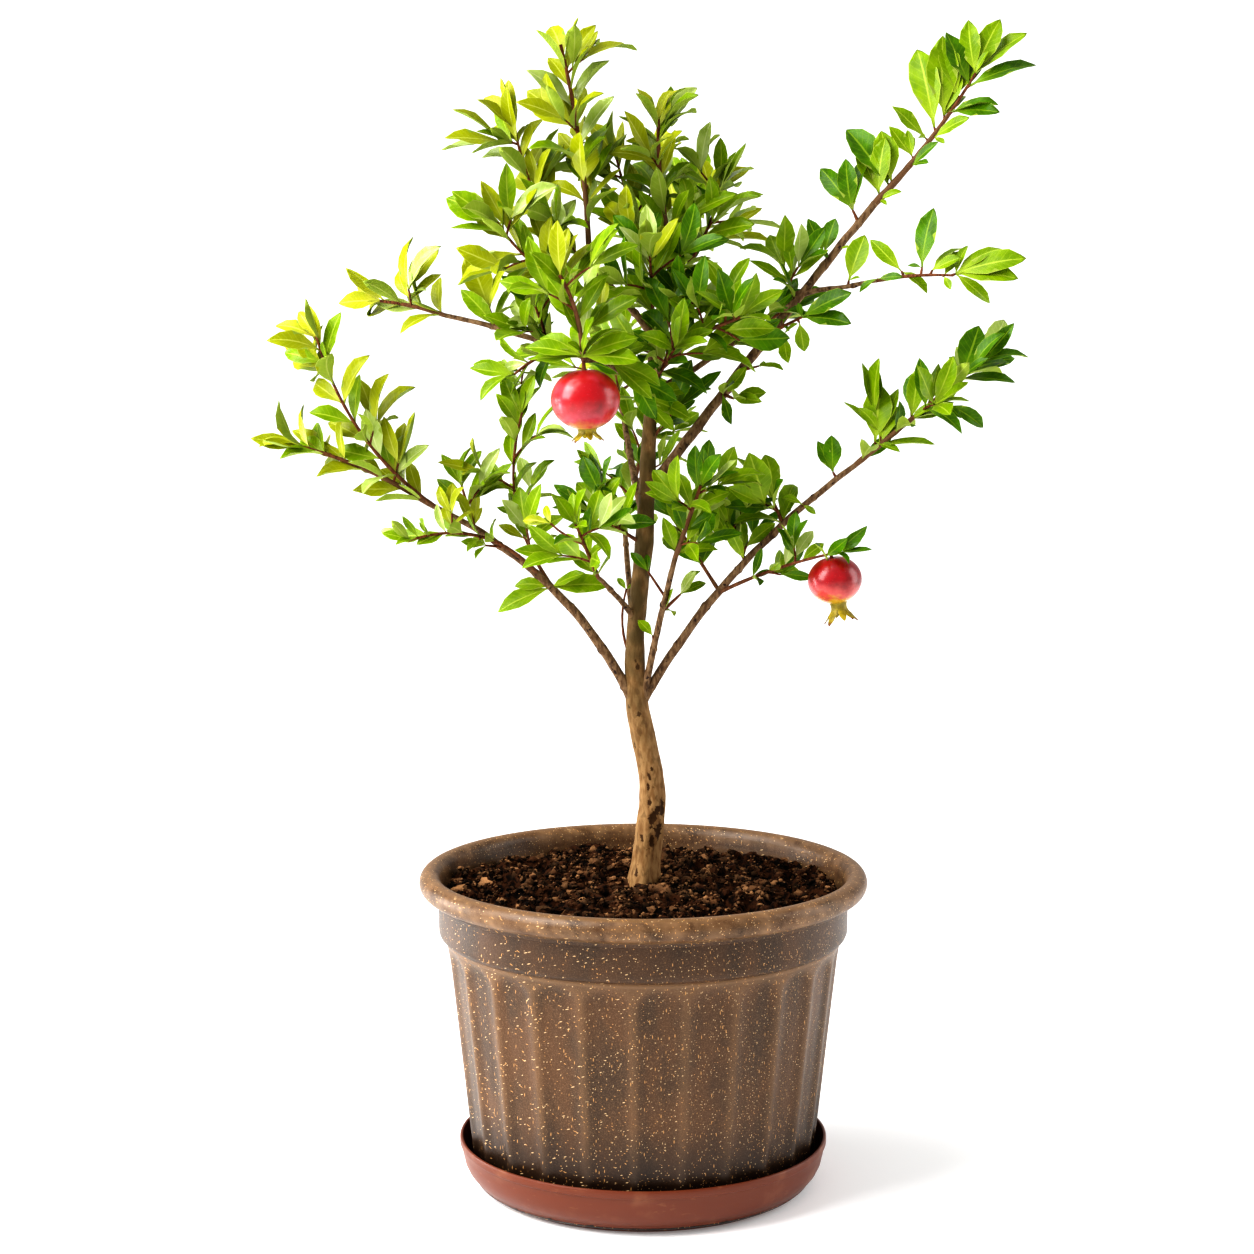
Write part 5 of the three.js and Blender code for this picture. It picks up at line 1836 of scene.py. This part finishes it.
@dataclass
class Soil:
    """The soil that fills the pot, rough and crumbly, heaped round the trunk."""

    edge: float = 154.4  # its radius
    edge_height: float = 233
    mound: float = 238  # its height in the middle
    clods: int = 1300
    crumbs: int = 11000

    def height(self, x: float, y: float) -> float:
        """The height of the rough surface at a place.

        Args:
            x: the place across, in millimetres.
            y: the place in depth.

        Returns:
            The height in millimetres.
        """
        out = math.hypot(x, y)
        share = min(1.0, out / self.edge)
        level = self.mound - (self.mound - self.edge_height) * share**2
        heap = 4.5 * math.exp(-((max(0.0, out - 12) / 14) ** 2))
        lump = noise.noise(Vector((x / 26, y / 26, 3))) * 8
        clod = (0.5 - self.gap(x, y)) * 19 - 5.4
        crumb = (0.4 - abs(noise.noise(Vector((x / 5, y / 5, 11))))) * 5
        return level + heap + (lump + clod + crumb) * (1 - 0.6 * math.exp(-((out / 22) ** 4))) - 2.0

    def gap(self, x: float, y: float) -> float:
        """How deep in a gap between lumps a place is, from 0 on top of a lump."""
        return abs(noise.noise(Vector((x / 18, y / 18, 7))))

    def build(self) -> None:
        """Makes the bed of soil, and the clods and crumbs that lie on it."""
        rings = [(0, 200), (self.edge - 9, 200), (self.edge, 212)]
        rings += [(self.edge * (1 - i / 90), 230.0) for i in range(90)]
        bed = spun("soil_bed", [*rings, (0, 230)], 320)
        places = places_of(bed)
        for place in places:
            if place[2] > 229:
                place[2] = self.height(place[0], place[1])
        move_places(bed, places)
        # The bed is paler where it stands higher.
        paint(bed, "dry_and_toplit", np.clip((places[:, 2] - 240) / 12, 0, 0.3))
        material = POTTING_SOIL.material()
        clods = self.scattered("soil_clods", self.clods, 2.2, 5.0, 0.3, 2)
        crumbs = self.scattered("soil_crumbs", self.crumbs, 0.8, 2.2, -0.3, 1)
        for piece in (bed, clods, crumbs):
            dress(piece, material, 50, "soil")

    def scattered(
        self, name: str, count: int, least: float, most: float, sink: float, detail: int
    ) -> bpy.types.Object:
        """Rough little clods scattered over the bed, from one ball, each with a shape of its own.

        Args:
            name: the piece's name.
            count: how many.
            least: the smallest radius, in millimetres.
            most: the largest radius.
            sink: how far each is sunk, as a share of its radius.
            detail: how finely each is made.

        Returns:
            All of them as one piece.
        """
        tidy_selection()
        bpy.ops.mesh.primitive_ico_sphere_add(subdivisions=detail, radius=1 * MM)
        pattern = bpy.context.object
        ball = places_of(pattern)
        faces = [tuple(face.vertices) for face in pattern.data.polygons]
        bpy.data.objects.remove(pattern)
        chance = Stream(seed_of(name))
        found, dryness_and_toplight = [], []
        for i in range(count):
            size = least + (most - least) * chance() ** 3
            out = math.sqrt(chance.between(0.008, 1)) * (self.edge - size - 1)
            turn = chance() * 2 * math.pi
            x, y = out * math.cos(turn), out * math.sin(turn)
            dry_and_toplit = chance() ** 4 * 0.85
            seed = Vector((i * 3.7, 0, 0))
            rough = np.array([
                1 + 0.6 * noise.noise(Vector(p * 1.3) + seed) + 0.5 * noise.noise(Vector(p * 3.3) + seed)
                for p in ball
            ])
            stretch = np.array([chance.between(*span) for span in ((0.8, 1.3), (0.7, 1.1), (0.6, 0.95))])
            turned = np.array(Matrix.Rotation(chance() * 2 * math.pi, 3, "Z"))
            clod = (ball * rough[:, None] * stretch * size) @ turned.T
            if out < 13 + size or self.gap(x, y) > chance.between(0.1, 0.32):
                continue
            found.append((clod + [x, y, self.height(x, y) + size * (0.3 - sink)], faces))
            # Painted light: each clod is paler towards its top, over its own share of dried soil.
            dryness_and_toplight.append(np.clip(dry_and_toplit * (0.55 + 0.6 * ball[:, 2]), 0, 1))
        piece = new_piece(name, *joined(found))
        paint(piece, "dry_and_toplit", np.concatenate(dryness_and_toplight))
        return piece


# ---------------------------------------------------------------- studio


@dataclass
class Studio:
    """A white floor, soft light from the upper left, and the camera."""

    ambient: float = 0.5  # how brightly the room lights the plant

    def floor(self) -> None:
        """A wide, pale, matt floor."""
        tidy_selection()
        bpy.ops.mesh.primitive_plane_add(size=40, location=(0, 0, 0))
        floor = bpy.context.object
        floor.name = "studio_floor"
        material = bpy.data.materials.new("white_paper")
        material.use_nodes = True
        inputs = material.node_tree.nodes["Principled BSDF"].inputs
        for name, value in (
            ("Base Color", (0.93, 0.93, 0.93, 1)), ("Roughness", 0.9), ("IOR", 1.2),
            ("Specular IOR Level", 0.1), ("Emission Color", (1, 1, 1, 1)), ("Emission Strength", 0.12),
        ):
            inputs[name].default_value = value
        floor.data.materials.append(material)

    def light(self, name: str, place: tuple, aim: tuple, size: Pair, power: float) -> None:
        """One soft rectangular light.

        Args:
            name: its name.
            place: where it is, in metres.
            aim: the point that it faces.
            size: its width and height, in metres.
            power: its power in watts.
        """
        data = bpy.data.lights.new(name, "AREA")
        data.shape = "RECTANGLE"
        data.size, data.size_y = size
        data.energy = power
        lamp = linked(name, data)
        lamp.location = place
        lamp.rotation_euler = (Vector(aim) - Vector(place)).to_track_quat("-Z", "Y").to_euler()

    def camera(self) -> None:
        """A long lens a little above the plant, looking slightly down."""
        data = bpy.data.cameras.new("camera")
        data.lens = 80
        data.sensor_width = 36
        data.clip_end = 100
        camera = linked("camera", data)
        camera.location = (-0.01272, -2.13565, 0.73959)
        camera.rotation_euler = (math.radians(90 - 7.926), 0, 0)
        bpy.context.scene.camera = camera

    def sun(self, heading: float, rise: float, strength: float) -> None:
        """The main light: even over the floor, with soft shadows.

        Args:
            heading: the compass turn that it shines from, in degrees.
            rise: its height above the floor, in degrees.
            strength: its power over a square metre.
        """
        data = bpy.data.lights.new("key_light", "SUN")
        data.energy = strength
        data.angle = math.radians(40)
        lamp = linked("key_light", data)
        lamp.rotation_euler = direction(heading, rise).to_track_quat("Z", "Y").to_euler()

    def surround(self) -> None:
        """A room that lights the plant softly and looks plain white."""
        world = bpy.data.worlds.new("studio_white")
        world.use_nodes = True
        tree = world.node_tree
        background = tree.nodes["Background"]
        seen = Node("LightPath", {}, "Is Camera Ray")
        level = Node("MapRange", {"Value": seen, "To Min": self.ambient, "To Max": 1.0})
        background.inputs[0].default_value = (1, 1, 1, 1)
        tree.links.new(add_node(tree, level), background.inputs[1])
        bpy.context.scene.world = world

    def build(self) -> None:
        """Sets the whole studio up."""
        self.camera()
        self.floor()
        self.surround()
        self.sun(-165, 55, 1.7)
        self.light("left_softbox", (-1.5, -0.75, 1.4), (0, 0, 0.3), (1.4, 1.4), 42)
        self.light("low_softbox", (-1.3, 0.4, 0.35), (0, 0, 0.15), (0.6, 0.6), 8)
        self.light("right_softbox", (1.8, 0.1, 0.9), (0, 0, 0.3), (0.9, 1.6), 12.5)
        bpy.context.scene.view_settings.view_transform = "Standard"
        bpy.context.scene.view_settings.look = "High Contrast"


def main() -> None:
    """Builds every piece in order and reports it."""
    logging.basicConfig(level=logging.INFO, format="%(name)s: %(message)s")
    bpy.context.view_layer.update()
    for part in (Studio(), Saucer(), Pot(), Soil()):
        part.build()
        log.info("%s", type(part).__name__.lower())
    tree = Tree()
    tree.fruit_spots = [fruit.spot(tree) for fruit in FRUITS]
    trunk_bark, bough_bark, twig_bark = (finish.material() for finish in (TRUNK_BARK, BOUGH_BARK, TWIG_BARK))
    for name, limb in tree.limbs.items():
        node = "trunk" if name == "trunk" else f"bough_{name}"
        piece = tree.wood(limb, node, trunk_bark if name == "trunk" else bough_bark)
        log.info("%s: %d faces", piece.name, len(piece.data.polygons))
    maker = LeafMaker({tint: finish.material() for tint, finish in LEAF_FINISHES.items()})
    total = 0
    for name in MASSES:
        total += tree.foliage(name, maker, twig_bark)
    log.info("leaves: %d", total)
    calyx_green = CALYX_SKIN.material()
    for fruit in FRUITS:
        fruit.build(tree, calyx_green, twig_bark)
        log.info("fruit on %s", fruit.mass)


if __name__ == "__main__":
    main()
